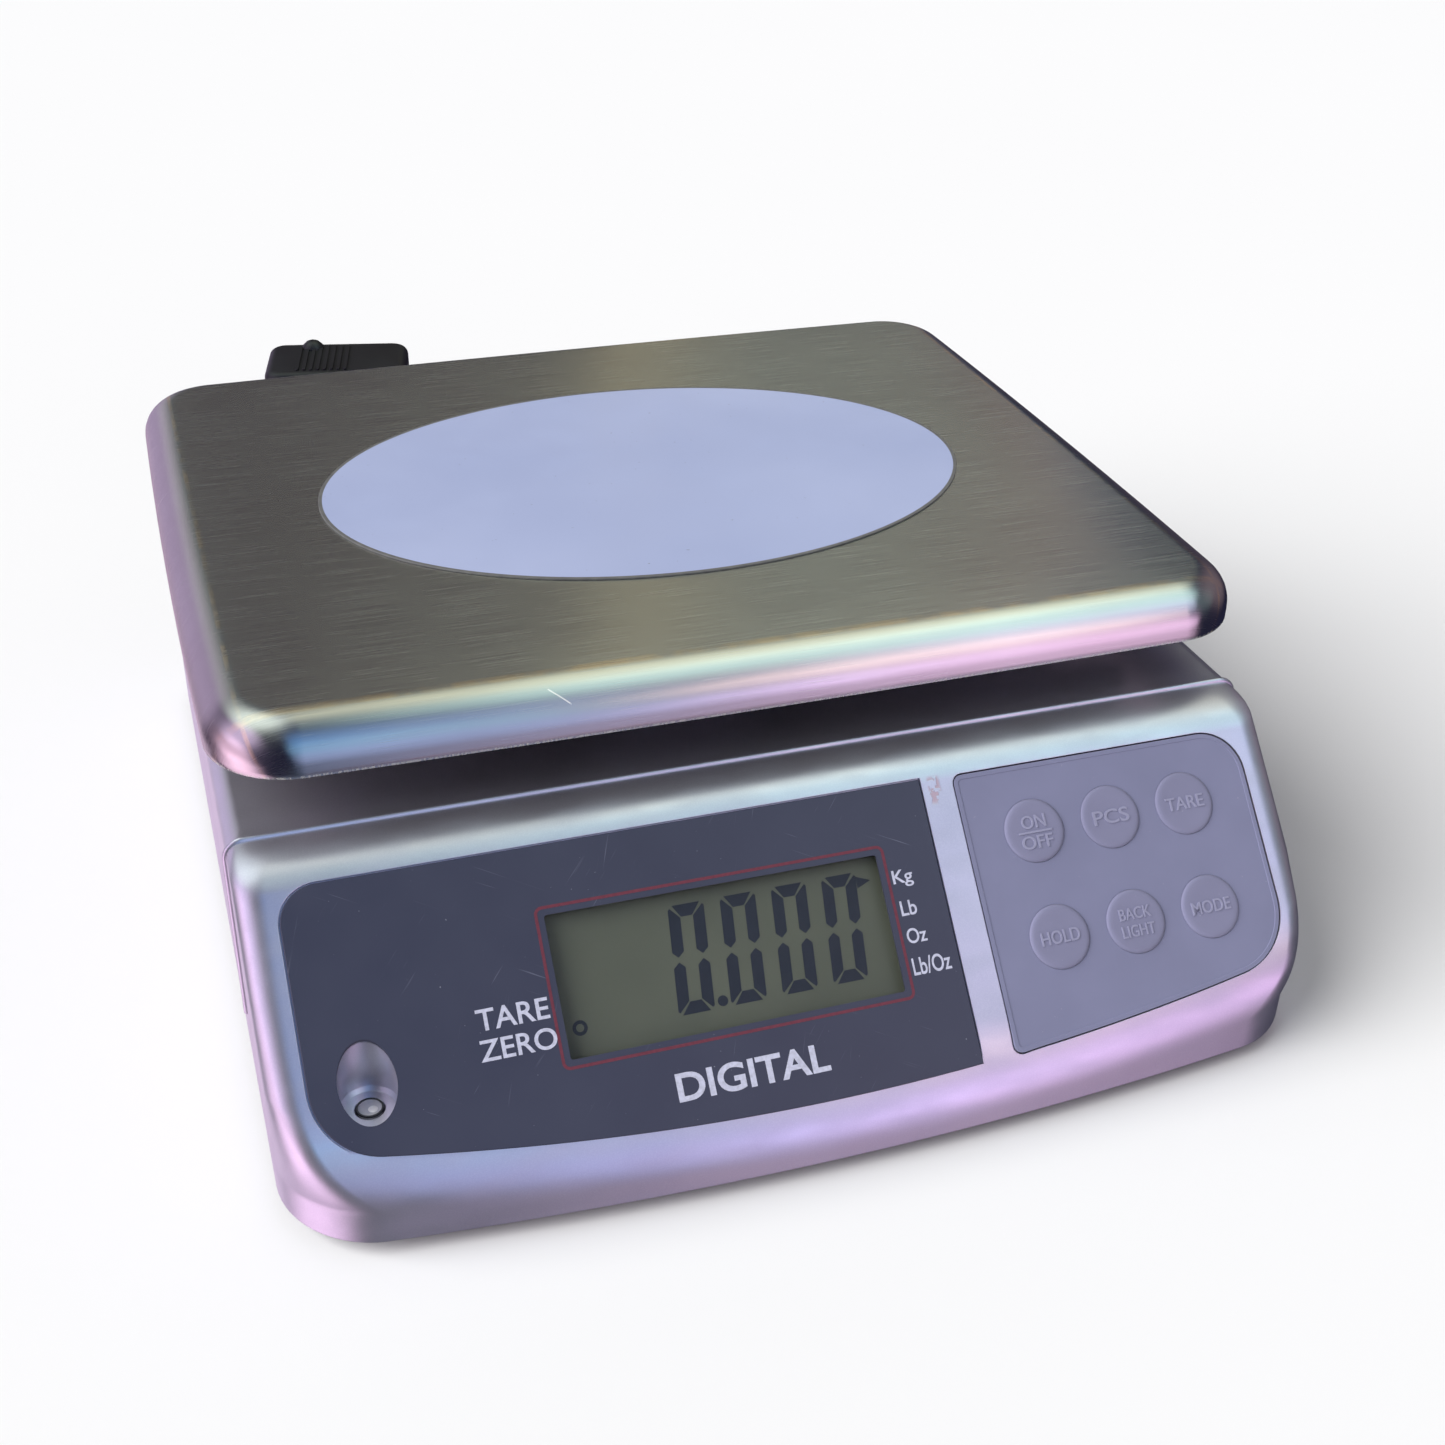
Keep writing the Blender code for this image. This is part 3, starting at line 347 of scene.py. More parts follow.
def flat_loops(outline, *heights):
    return [[(x, y, z) for x, y in outline] for z in heights]


def turned_loops(profile, sides):
    angles = [2.0 * math.pi * i / sides for i in range(sides)]
    return [[(r * math.cos(a), r * math.sin(a), z) for a in angles] for r, z in profile]


def lofted(name, loops, angle=35.0, matrix=None):
    bm = bmesh.new()
    add_loft(bm, loops)
    return finish_mesh(name, bm, angle, matrix)


def cutter(loops, matrix=None):
    bm = bmesh.new()
    add_loft(bm, loops)
    bmesh.ops.recalc_face_normals(bm, faces=bm.faces)
    if matrix:
        bm.transform(matrix)
    mesh = bpy.data.meshes.new("cutter")
    bm.to_mesh(mesh)
    bm.free()
    return new_object("cutter", mesh)


def outline_cutter(outline, low, high, matrix=PANEL):
    return cutter(flat_loops(outline, low, high), matrix)


def turned_cutter(profile, matrix, sides=48):
    return cutter(turned_loops(profile, sides), matrix)


def carve(mesh, cuts):
    """The mesh after each (operation, cutter object) boolean; the cutters are removed."""
    obj = new_object("carving", mesh)
    for operation, other in cuts:
        mod = obj.modifiers.new("cut", "BOOLEAN")
        mod.operation = operation
        mod.solver = "EXACT"
        mod.object = other
    graph = bpy.context.evaluated_depsgraph_get()
    made = bpy.data.meshes.new_from_object(obj.evaluated_get(graph))
    for other in [obj] + [other for _, other in cuts]:
        bpy.data.objects.remove(other, do_unlink=True)
    return made


def resmooth(mesh, angle):
    mesh.shade_smooth()
    mesh.set_sharp_from_angle(angle=math.radians(angle))
    return mesh


# ---------------------------------------------------------------- weighing pan

def pan_loop(inset, height, corner_steps=12, side_steps=10):
    """The pan's outline drawn in by inset: rounded corners and slightly bowed sides."""
    half_w = PAN_WIDTH / 2 - inset
    half_d = PAN_DEPTH / 2 - inset
    radius = PAN_CORNER - inset
    corners = ((1, -1, -90), (1, 1, 0), (-1, 1, 90), (-1, -1, 180))
    points = []
    for index, (sx, sy, start) in enumerate(corners):
        cx = sx * (half_w - PAN_BOW - radius)
        cy = sy * (half_d - PAN_BOW - radius)
        corner = arc(cx, cy, radius, start, start + 90, corner_steps)
        points += corner
        following = corners[(index + 1) % 4]
        end = Vector((following[0] * (half_w - PAN_BOW - radius),
                      following[1] * (half_d - PAN_BOW - radius)))
        a = math.radians(start + 90)
        outward = Vector((math.cos(a), math.sin(a)))
        last = Vector(corner[-1])
        first = end + outward * radius
        for k in range(1, side_steps):
            t = k / side_steps
            points.append(tuple(last.lerp(first, t) + outward * (PAN_BOW * 4 * t * (1 - t))))
    return [(x, y + PAN_CENTRE_Y, height) for x, y in points]


def make_pan():
    """Drawn tray with a rolled edge; its UVs are the flat sheet before drawing, in metres."""
    rim = PAN_TOP - PAN_SKIRT
    loops, flat = [], []
    for step in range(ROLL_STEPS + 1):
        a = math.pi / 2 * step / ROLL_STEPS
        loops.append(pan_loop(PAN_ROLL * (1 - math.sin(a)), PAN_TOP - PAN_ROLL * (1 - math.cos(a))))
        flat.append(PAN_ROLL - PAN_ROLL * a)
    drop = PAN_SKIRT - PAN_ROLL
    turn = PAN_ROLL - PAN_ROLL * math.pi / 2
    for height in (rim + 0.5 * drop, rim + 0.15 * MM):
        loops.append(pan_loop(0.0, height))
        flat.append(turn - (PAN_TOP - PAN_ROLL - height))
    loops += [pan_loop(0.12 * MM, rim), pan_loop(PAN_SHEET - 0.12 * MM, rim)]
    flat += [turn - drop, turn - drop]
    tight = PAN_ROLL - PAN_SHEET
    for step in range(ROLL_STEPS_UNDER + 1):
        a = math.pi / 2 * (1 - step / ROLL_STEPS_UNDER)
        loops.append(pan_loop(PAN_SHEET + tight * (1 - math.sin(a)),
                              PAN_TOP - PAN_SHEET - tight * (1 - math.cos(a))))
        flat.append(PAN_ROLL - PAN_ROLL * a)
    bm = bmesh.new()
    rings = add_loft(bm, loops, cap_ends=False)
    sheet = {}
    for ring, inset in zip(rings, flat):
        for vert, (x, y, _) in zip(ring, pan_loop(inset, 0.0)):
            sheet[vert] = (y, x)
    for ring in (rings[0], rings[-1]):
        inner = ring
        middle = Vector((0.0, PAN_CENTRE_Y, ring[0].co.z))
        for share in (0.82, 0.5, 0.2):
            nxt = [bm.verts.new(middle.lerp(v.co, share)) for v in ring]
            for i in range(len(ring)):
                j = (i + 1) % len(ring)
                bm.faces.new((inner[i], inner[j], nxt[j], nxt[i]))
            inner = nxt
        bm.faces.new(inner)
    uv = bm.loops.layers.uv.new("sheet")
    for face in bm.faces:
        for corner in face.loops:
            v = corner.vert
            corner[uv].uv = sheet.get(v) or (v.co.y, v.co.x)
    mesh = finish_mesh("pan_tray", bm, 40)
    pan = link("pan_tray", mesh, "pan", steel_finish())
    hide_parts("weighing_pan")


def steel_finish():
    """Brushed stainless sheet: hair lines along X, a painted highlight along the crease where the roll
    starts, a burred rim.
    """
    f = Finish("brushed_steel", (0.58, 0.565, 0.54), 0.24, 1.0, Anisotropic=0.93)
    uv = f.node("UVMap")
    uv.uv_map = "sheet"
    tangent = f.node("Tangent")
    tangent.direction_type = "UV_MAP"
    tangent.uv_map = "sheet"
    f.put("Tangent", tangent.outputs["Tangent"])
    sheet = uv.outputs["UV"]
    across, along, _ = f.axes(sheet)
    hair = f.noise(0.16 * MM, 3.0, (1.0, 0.007, 1.0), sheet)
    strand = f.noise(0.7 * MM, 3.0, (1.0, 0.006, 1.0), sheet)
    cloud = f.noise(38 * MM, 3.0)
    base = f.blend(cloud, (0.57, 0.55, 0.525), (0.61, 0.60, 0.57))
    base = f.blend(strand, base, (0.44, 0.43, 0.40), 0.35, 0.7, 0.06)
    # painted highlight: a tan line along the side and front creases where the flat top turns into the
    # roll, broken up in patches by noise
    side = f.maths("ABSOLUTE", along)
    side_crease_highlight = f.band(side, PAN_WIDTH / 2 - PAN_ROLL + 0.6 * MM, 0.25 * MM, 0.5 * MM)
    front_crease_highlight = f.band(across, PAN_CENTRE_Y - PAN_DEPTH / 2 + PAN_ROLL, 0.5 * MM, 1.1 * MM)
    patchy = f.remap(f.noise(7 * MM, 4.0), 0.35, 0.6)
    crease_highlight = f.maths("MULTIPLY", f.maths("MAXIMUM", side_crease_highlight, front_crease_highlight), patchy)
    base = f.mix(f.maths("MULTIPLY", crease_highlight, 0.7), base, (0.86, 0.70, 0.50))
    nick = f.maths("MULTIPLY", f.band(f.maths("ADD", across, f.maths("MULTIPLY", along, 0.9)),
                                      -112.0 * MM, 0.12 * MM, 0.15 * MM),
                   f.band(along, -47.5 * MM, 1.8 * MM, 0.6 * MM))
    base = f.mix(nick, base, (0.95, 0.92, 0.86))
    f.put("Base Color", base)
    f.put("Roughness", f.remap(hair, 0.3, 0.7, 0.20, 0.28))
    _, _, height = f.axes()
    burr = f.remap(f.noise(0.5 * MM, 3.0, (1.0, 1.0, 0.15)), 0.42, 0.58)
    rim = f.maths("MULTIPLY", f.band(height, PAN_TOP - PAN_SKIRT + 0.1 * MM, 0.3 * MM, 0.3 * MM), burr)
    f.put("Metallic", f.remap(f.maths("MAXIMUM", rim, nick), 0.0, 1.0, 1.0, 0.45))
    relief = f.maths("ADD", hair, f.maths("MULTIPLY", strand, 0.3))
    f.put("Normal", f.bump(f.maths("ADD", relief, rim), 0.0013 * MM))
    return f.mat


def make_label():
    a, b = LABEL_HALF
    low, high = PAN_TOP + GAP * 0.2, PAN_TOP + LABEL_THICKNESS

    def ring(inset, z):
        angles = [2 * math.pi * i / LABEL_SIDES for i in range(LABEL_SIDES)]
        return [((a - inset) * math.cos(t), PAN_CENTRE_Y + (b - inset) * math.sin(t), z) for t in angles]

    mesh = lofted("pan_label", [ring(0.0, low), ring(0.0, high - LABEL_EDGE), ring(LABEL_EDGE, high),
                                ring(LABEL_BORDER, high)], 30)
    label = link("pan_label", mesh, "pan", *label_finishes())
    for poly in mesh.polygons:
        if len(poly.vertices) > 4 and poly.center.z > high - LABEL_EDGE / 2:
            poly.material_index = 1
    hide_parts("oval_label")


def label_finishes():
    edge = Finish("label_border", (0.12, 0.12, 0.12), 0.4)
    edge.put("Base Color", edge.mix(edge.noise(2 * MM, 3.0), (0.09, 0.09, 0.095), (0.19, 0.19, 0.18)))
    film = Finish("label_film", (0.43, 0.49, 0.72), 0.33, Coat_Weight=0.35, Coat_Roughness=0.12)
    sweep = film.noise(70 * MM, 2.0)
    speck = film.noise(1.3 * MM, 2.0)
    base = film.blend(sweep, (0.40, 0.46, 0.69), (0.46, 0.52, 0.75))
    film.put("Base Color", film.blend(speck, base, (0.25, 0.27, 0.4), 0.74, 0.80))
    film.put("Roughness", film.remap(film.noise(9 * MM, 3.0), 0.3, 0.7, 0.28, 0.4))
    film.put("Normal", film.bump(film.noise(5 * MM, 2.0), 0.01 * MM))
    return edge.mat, film.mat


# ---------------------------------------------------------------- case

def smooth_max(a, b, softness):
    """The larger of the two, rounded off where they are within softness of each other."""
    h = max(softness - abs(a - b), 0.0) / softness
    return max(a, b) + h * h * softness / 4


def shoulder(inset):
    """Start, turning point and end of the curve from deck to panel, as (y, z), eased on the deck side."""
    deck = CASE_DECK - inset
    foot = PANEL_ORIGIN.y + inset / math.sin(PANEL_ANGLE)
    turn_y = foot + (deck - PANEL_ORIGIN.z) / math.tan(PANEL_ANGLE)
    end = (turn_y - SHOULDER_DOWN * math.cos(PANEL_ANGLE), deck - SHOULDER_DOWN * math.sin(PANEL_ANGLE))
    return (turn_y + SHOULDER_BACK, deck), (turn_y, deck), end


def slope_y(height, inset):
    """How far back the panel or shoulder surface lies at a height, on the case's centre line."""
    start, turn, end = shoulder(inset)
    if height <= end[1]:
        return end[0] - (end[1] - height) / math.tan(PANEL_ANGLE)
    t = math.sqrt(max(start[1] - height, 0.0) / (start[1] - end[1]))
    return (1 - t) ** 2 * start[0] + 2 * t * (1 - t) * turn[0] + t * t * end[0]


def case_loop(height, inset, steps=14, across=48):
    """The case's outline at a height. Where the panel cuts the base's corners, they turn tighter."""
    deck = CASE_DECK - inset
    fillet = SIDE_FILLET - min(inset, SIDE_FILLET - 0.5 * MM)
    into = max(height - (deck - fillet), 0.0)
    tuck = fillet - math.sqrt(max(fillet ** 2 - into ** 2, 0.0))
    half_w = CASE_HALF_WIDTH - inset - tuck
    rear = CASE_REAR - inset - tuck
    slope = slope_y(height, inset)

    def front(x):
        return smooth_max(CASE_FRONT + inset + FRONT_BOW * x * x, slope, BULGE)

    base_radius = CORNER - inset
    fold = CASE_FRONT + inset + FRONT_BOW * (half_w - base_radius) ** 2
    retreat = min(smooth_max(slope - fold, 0.0, BULGE), base_radius)
    reach = math.sqrt(2 * base_radius * retreat - retreat ** 2)
    wide = smooth_max(PANEL_CORNER - inset, base_radius - reach, BULGE)
    deep = smooth_max(PANEL_CORNER - inset, base_radius - retreat, BULGE)
    straight = half_w - wide
    points = []
    for i in range(across + 1):
        x = -straight + 2 * straight * i / across
        points.append((x, front(x)))
    for i in range(1, steps + 1):
        a = math.pi / 2 * i / steps
        x = straight + wide * math.sin(a)
        points.append((x, front(x) + deep * (1 - math.cos(a))))
    points += arc(half_w - base_radius, rear - base_radius, base_radius, 0, 90, steps)
    points += arc(-half_w + base_radius, rear - base_radius, base_radius, 90, 180, steps)
    for i in range(steps, 0, -1):
        a = math.pi / 2 * i / steps
        x = -straight - wide * math.sin(a)
        points.append((x, front(x) + deep * (1 - math.cos(a))))
    return [(x, y, height) for x, y in points]


def case_levels(inset, fine):
    """Heights of the case's sections: close together over the skirt and the shoulder."""
    deck = CASE_DECK - inset
    step = 1.0 if fine else 4.0
    levels = [CASE_BOTTOM]
    height = CASE_BOTTOM + 2 * MM
    while height < SKIRT_TOP:
        levels.append(height)
        height += step * MM
    levels += SLOPE_LEVELS
    _, _, end = shoulder(inset)
    count = 18 if fine else 6
    for k in range(count + 1):
        levels.append(deck - (deck - end[1]) * (1 - k / count) ** 2)
    return levels


def panel_foot(x, margin):
    """Height on the panel of the bowed lower edge that the film and keypad share."""
    return FILM_BOTTOM - margin + FOOT_BOW * x * x


def foot_points(start, end, steps, margin):
    spots = [start + (end - start) * i / steps for i in range(1, steps)]
    return [(x, panel_foot(x, margin)) for x in spots]


def foot_corner(x, radius, margin):
    """Centre height and touching angle of a corner arc centred at x that runs into the foot edge."""
    touch = 270.0 + math.degrees(math.atan(2 * FOOT_BOW * x))
    a = math.radians(touch)
    return panel_foot(x + radius * math.cos(a), margin) - radius * math.sin(a), touch


def film_outline(margin=0.0, steps=12):
    left, right = FILM_LEFT - margin, FILM_RIGHT + margin
    top = FILM_TOP + margin
    small, large = [radius + margin for radius in FILM_CORNERS]
    points = [(right, panel_foot(right, margin)), (right, top)]
    points += arc(left + small, top - small, small, 90, 180, steps)
    corner_x = left + large
    corner_y, touch = foot_corner(corner_x, large, margin)
    points += arc(corner_x, corner_y, large, 180, touch, steps + 4)
    start = points[-1][0]
    return points + foot_points(start, right, 24, margin)


def keypad_outline(margin=0.0, steps=10):
    left, right = KEYS_LEFT - margin, KEYS_RIGHT + margin
    top = KEYS_TOP + margin
    medium, large, small = [radius + margin for radius in KEYS_CORNERS]
    corner_x = right - large
    corner_y, touch = foot_corner(corner_x, large, margin)
    points = arc(corner_x, corner_y, large, touch - 360, 0, steps + 4)
    points += arc(right - medium, top - medium, medium, 0, 90, steps)
    points += arc(left + small, top - small, small, 90, 180, 4)
    points += arc(left + small, panel_foot(left, margin) + small, small, 180, 270, 4)
    return points + foot_points(left + small, points[0][0], 14, margin)


def level_place():
    spot = PANEL @ Vector((LEVEL_X, LEVEL_SLOPE, 0.0))
    return Matrix.Translation((spot.x, spot.y, 0.0))


def bead_cutter():
    """The round bead across the deck and down both sides."""
    inner_w = CASE_HALF_WIDTH - SIDE_FILLET
    inner_z = CASE_DECK - SIDE_FILLET
    path = [(-CASE_HALF_WIDTH, BEAD_FOOT, -1.0, 0.0)]
    for side, start, end in ((-1, 180, 90), (1, 90, 0)):
        for i in range(9):
            a = math.radians(start + (end - start) * i / 8)
            path.append((side * inner_w + SIDE_FILLET * math.cos(a),
                         inner_z + SIDE_FILLET * math.sin(a), math.cos(a), math.sin(a)))
    path.append((CASE_HALF_WIDTH, BEAD_FOOT, 1.0, 0.0))
    loops = []
    for x, z, nx, nz in path:
        loop = []
        for k in range(16):
            a = 2 * math.pi * (k + 0.5) / 16
            out = BEAD_RADIUS * math.cos(a)
            loop.append((x + nx * out, BEAD_Y + BEAD_RADIUS * math.sin(a), z + nz * out))
        loops.append(loop)
    return cutter(loops)


def make_case():
    """Hollow upper case with its bead, and the openings for support, film, keys, window and jack."""
    outer = [case_loop(z, 0.0) for z in case_levels(0.0, True)]
    inner = [case_loop(z, CASE_WALL) for z in case_levels(CASE_WALL, False)]
    shell = lofted("case_shell", list(reversed(outer)) + inner, 30)
    hole = rounded_outline(POST_X - DECK_HOLE[0] / 2, POST_X + DECK_HOLE[0] / 2,
                           PAN_CENTRE_Y - DECK_HOLE[1] / 2, PAN_CENTRE_Y + DECK_HOLE[1] / 2, 1 * MM, 4)
    left, right, bottom, top = WINDOW
    edge = 2.3 * MM
    opening = rounded_outline(left - edge, right + edge, bottom - edge, top + edge, 1 * MM, 4)
    well = [(LEVEL_RADIUS + LEVEL_WALL + GAP, z) for z in (LEVEL_BORE_FOOT, CASE_DECK)]
    shell = carve(shell, [
        ("UNION", bead_cutter()),
        ("DIFFERENCE", outline_cutter(hole, CASE_DECK - 8 * MM, CASE_DECK + 8 * MM, None)),
        ("DIFFERENCE", outline_cutter(film_outline(GAP), -FILM_POCKET, 6 * MM)),
        ("DIFFERENCE", outline_cutter(keypad_outline(GAP), -8 * MM, 6 * MM)),
        ("DIFFERENCE", outline_cutter(opening, -10 * MM, 6 * MM)),
        ("DIFFERENCE", turned_cutter(well, level_place())),
        ("DIFFERENCE", turned_cutter([(JACK_HOLE, -8 * MM), (JACK_HOLE, 8 * MM)],
                                     Matrix.Translation(JACK) @ ALONG_Y)),
    ])
    resmooth(shell, 30)
    case = link("case_shell", shell, "case", paint_finish())
    mod = case.modifiers.new("even", "WEIGHTED_NORMAL")
    mod.keep_sharp = True
    mod.weight = 60
    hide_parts("upper_case")


def paint_finish():
    """Metallic silver paint with fine flake, soft blotches, rub marks and a few chips."""
    f = Finish("silver_paint", (0.60, 0.585, 0.67), 0.34, 0.82, Coat_Weight=0.25, Coat_Roughness=0.22)
    flake = f.noise(0.28 * MM, 2.0)
    fine = f.cells(0.16 * MM)
    cloud = f.noise(26 * MM, 3.0)
    base = f.blend(cloud, (0.57, 0.555, 0.645), (0.63, 0.615, 0.695))
    base = f.blend(flake, base, (0.78, 0.77, 0.82), 0.4, 0.72, 0.25)
    panel = f.on_panel()
    along, slope, _ = f.axes(panel)
    near = f.maths("MULTIPLY", f.band(along, 33.6 * MM, 0.9 * MM, 0.9 * MM),
                   f.band(slope, -2.6 * MM, 2.2 * MM, 1.4 * MM))
    flaked = f.remap(f.noise(1.9 * MM, 4.0, place=panel, distortion=0.6), 0.47, 0.51)
    chip = f.maths("MULTIPLY", near, flaked)
    base = f.mix(chip, base, (0.50, 0.38, 0.46))
    rub = f.noise(5 * MM, 5.0, (0.35, 1.0, 1.0), panel)
    f.put("Base Color", base)
    f.put("Roughness", f.remap(rub, 0.3, 0.72, 0.30, 0.42))
    edge = f.node("Bevel", Radius=0.3 * MM)
    edge.samples = 4
    height = f.maths("ADD", f.maths("MULTIPLY", fine, 0.35), flake)
    normal = f.bump(height, 0.0035 * MM, edge.outputs["Normal"])
    f.put("Metallic", f.remap(chip, 0.0, 1.0, 0.82, 0.2))
    f.put("Normal", f.bump(chip, -0.05 * MM, normal))
    return f.mat


# ---------------------------------------------------------------- display

def film_plate(name):
    """The whole film before its openings are cut, with a chamfered upper edge."""
    loops = flat_loops(film_outline(), FILM_SURFACE - FILM_THICKNESS, FILM_SURFACE - FILM_CHAMFER)
    return lofted(name, loops + flat_loops(film_outline(-FILM_CHAMFER), FILM_SURFACE), 30, PANEL)


def make_overlay():
    mesh = film_plate("overlay_film")
    left, right, bottom, top = WINDOW
    cut = rounded_outline(left, right, bottom, top, 0.6 * MM, 4)
    well = [(LEVEL_RADIUS, LEVEL_BORE_FOOT), (LEVEL_RADIUS, CASE_DECK)]
    mesh = carve(mesh, [("DIFFERENCE", outline_cutter(cut, -3 * MM, 3 * MM)),
                        ("DIFFERENCE", turned_cutter(well, level_place(), 64))])
    film = link("overlay_film", resmooth(mesh, 20), "case", film_finish())
    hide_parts("display_overlay")


def film_finish():
    """Slate overlay film: matt lacquer with hairline scratches and wiped dust."""
    f = Finish("overlay_slate", (0.040, 0.043, 0.071), 0.42)
    panel = f.on_panel()
    cloud = f.noise(22 * MM, 3.0, place=panel)
    base = f.blend(cloud, (0.037, 0.039, 0.066), (0.044, 0.047, 0.077))
    scratch = 0.0
    for angle, size in ((0.5, 0.5), (-0.85, 0.42), (1.9, 0.6)):
        turn = f.node("VectorRotate", Vector=panel)
        turn.rotation_type = "Z_AXIS"
        turn.inputs["Angle"].default_value = angle
        line = f.noise(size * MM, 2.0, (0.03, 1.0, 1.0), turn.outputs["Vector"])
        patch = f.remap(f.noise(16 * MM, 1.0, place=turn.outputs["Vector"]), 0.52, 0.68)
        mark = f.maths("MULTIPLY", f.remap(line, 0.70, 0.76), patch)
        scratch = f.maths("MAXIMUM", mark, scratch)
    speck = f.remap(f.noise(0.7 * MM, 2.0, place=panel), 0.76, 0.80, 0.0, 0.7)
    base = f.mix(f.maths("MULTIPLY", scratch, 0.35), base, (0.26, 0.27, 0.36))
    f.put("Base Color", f.mix(speck, base, (0.35, 0.36, 0.42)))
    f.put("Roughness", f.remap(cloud, 0.3, 0.7, 0.32, 0.42))
    f.put("Normal", f.bump(f.noise(0.3 * MM, 2.0, place=panel), 0.003 * MM))
    return f.mat


def print_text(bm, body, box, z, weight=0.010):
    """Letters laid into box = (left, right, bottom, top), from z[0] to z[1], in the bmesh's axes."""
    curve = bpy.data.curves.new("text", "FONT")
    curve.body = body
    curve.offset = weight
    curve.resolution_u = 6
    curve.extrude = 0.01
    obj = new_object("text", curve)
    graph = bpy.context.evaluated_depsgraph_get()
    graph.update()
    mesh = bpy.data.meshes.new_from_object(obj.evaluated_get(graph))
    bpy.data.objects.remove(obj, do_unlink=True)
    xs = [v.co.x for v in mesh.vertices]
    ys = [v.co.y for v in mesh.vertices]
    left, right, bottom, top = box
    for v in mesh.vertices:
        v.co = (left + (v.co.x - min(xs)) / (max(xs) - min(xs)) * (right - left),
                bottom + (v.co.y - min(ys)) / (max(ys) - min(ys)) * (top - bottom),
                z[0] if v.co.z < 0 else z[1])
    bm.from_mesh(mesh)
    bpy.data.meshes.remove(mesh)


def add_plate(bm, outline, low, high):
    add_loft(bm, flat_loops(outline, low, high))


def add_frame(bm, outer, inner, low, high):
    """A flat band between two outlines with the same count of points."""
    rings = [[bm.verts.new((x, y, z)) for x, y in loop]
             for loop, z in ((outer, low), (outer, high), (inner, high), (inner, low))]
    count = len(outer)
    for a, b in zip(rings, rings[1:] + rings[:1]):
        for i in range(count):
            j = (i + 1) % count
            bm.faces.new((a[i], a[j], b[j], b[i]))


def ink(name, colour):
    f = Finish(name, colour, 0.5)
    patchy = f.noise(0.8 * MM, 3.0)
    f.put("Base Color", f.blend(patchy, tint(colour, 1.06), tint(colour, 0.8), 0.35, 0.75))
    f.put("Normal", f.bump(f.noise(0.2 * MM, 2.0), 0.002 * MM))
    return f.mat


# Word, stroke weight, then left, right, bottom and top on the panel in millimetres
FILM_WORDS = (
    ("TARE", 0.012, -75.0, -60.0, -35.2, -30.8), ("ZERO", 0.012, -75.4, -59.4, -41.4, -37.0),
    ("Kg", 0.012, 19.2, 23.9, -22.4, -18.5), ("Lb", 0.012, 19.5, 23.2, -28.6, -25.3),
    ("Oz", 0.012, 19.5, 24.1, -34.7, -31.4), ("Lb/Oz", 0.012, 19.3, 28.2, -41.6, -37.8),
    ("DIGITAL", 0.022, -37.0, -3.5, -57.4, -51.4),
)


def make_print():
    low, high = FILM_SURFACE + 0.005 * MM, FILM_SURFACE + 0.035 * MM
    bm = bmesh.new()
    for body, weight, *box in FILM_WORDS:
        print_text(bm, body, [side * MM for side in box], (low, high), weight)
    lettering = link("overlay_lettering", finish_mesh("overlay_lettering", bm, 20, PANEL), "case",
                     ink("pale_ink", (0.58, 0.59, 0.74)))
    left, right, bottom, top = WINDOW
    bm = bmesh.new()
    grow, inset = 1.95 * MM, 1.3 * MM
    outer = rounded_outline(left - grow, right + grow, bottom - grow, top + grow, 1.7 * MM)
    inner = rounded_outline(left - inset, right + inset, bottom - inset, top + inset, 1.05 * MM)
    add_frame(bm, outer, inner, low, high)
    border = link("overlay_red_line", finish_mesh("overlay_red_line", bm, 20, PANEL), "case",
                  ink("red_ink", (0.15, 0.030, 0.048)))


def digit_segments():
    """Six bars of a zero as outlines from the top left corner of its box, in millimetres."""
    width, height = DIGIT_BOX
    bar, trim, slit, waist = 2.6, 0.75, 0.16, 0.5
    across = [(trim + slit, 0.0), (width - trim - slit, 0.0), (width - bar - slit, -bar),
              (bar + slit, -bar)]
    half = height / 2
    side = [(0.0, -trim - slit), (trim * 0.5, -trim * 0.5 - slit), (bar, -bar - slit),
            (bar, -half + waist + bar * 0.45), (bar / 2, -half + waist), (0.0, -half + waist + bar * 0.45)]
    upper = [across, side, [(width - x, y) for x, y in side]]
    return upper + [[(x, -height - y) for x, y in outline] for outline in upper]


def make_lcd_image():
    """Four leaning zeros, the decimal point, the zero mark and the arrow beside the units."""
    low, high = LCD_SURFACE + 0.005 * MM, LCD_SURFACE + 0.04 * MM
    bm = bmesh.new()
    for index in range(DIGIT_COUNT):
        left = DIGIT_LEFT + index * DIGIT_PITCH
        for outline in digit_segments():
            points = [((left + x + (y + DIGIT_BOX[1]) * DIGIT_LEAN) * MM, (DIGIT_TOP + y) * MM)
                      for x, y in outline]
            add_plate(bm, points, low, high)
    add_plate(bm, arc(-22.9 * MM, -38.6 * MM, 1.15 * MM, 0, 350, 24), low, high)
    outer, inner = [arc(-53.9 * MM, -38.3 * MM, r * MM, 0, 350, 28) for r in (1.6, 0.85)]
    add_frame(bm, outer, inner, low, high)
    arrow = ((11.9, -18.0), (11.9, -20.6), (15.2, -19.3))
    add_plate(bm, [(x * MM, y * MM) for x, y in arrow], low, high)
    f = Finish("lcd_ink", (0.012, 0.016, 0.028), 0.45)
    shade = f.noise(2.5 * MM, 2.0)
    f.put("Base Color", f.mix(shade, (0.009, 0.013, 0.023), (0.018, 0.023, 0.036)))
    segments = link("lcd_segments", finish_mesh("lcd_segments", bm, 20, PANEL), "case", f.mat)


# ---------------------------------------------------------------- keypad

def on_slope(x, y):
    return PANEL @ Matrix.Translation((x, y, 0.0))


def key_spots():
    for index, name in enumerate(("on_off", "pieces", "tare", "hold", "backlight", "mode")):
        row, column = divmod(index, 3)
        yield name, KEY_ORIGIN[0] + column * KEY_PITCH[0], KEY_ORIGIN[1] - row * KEY_PITCH[1]


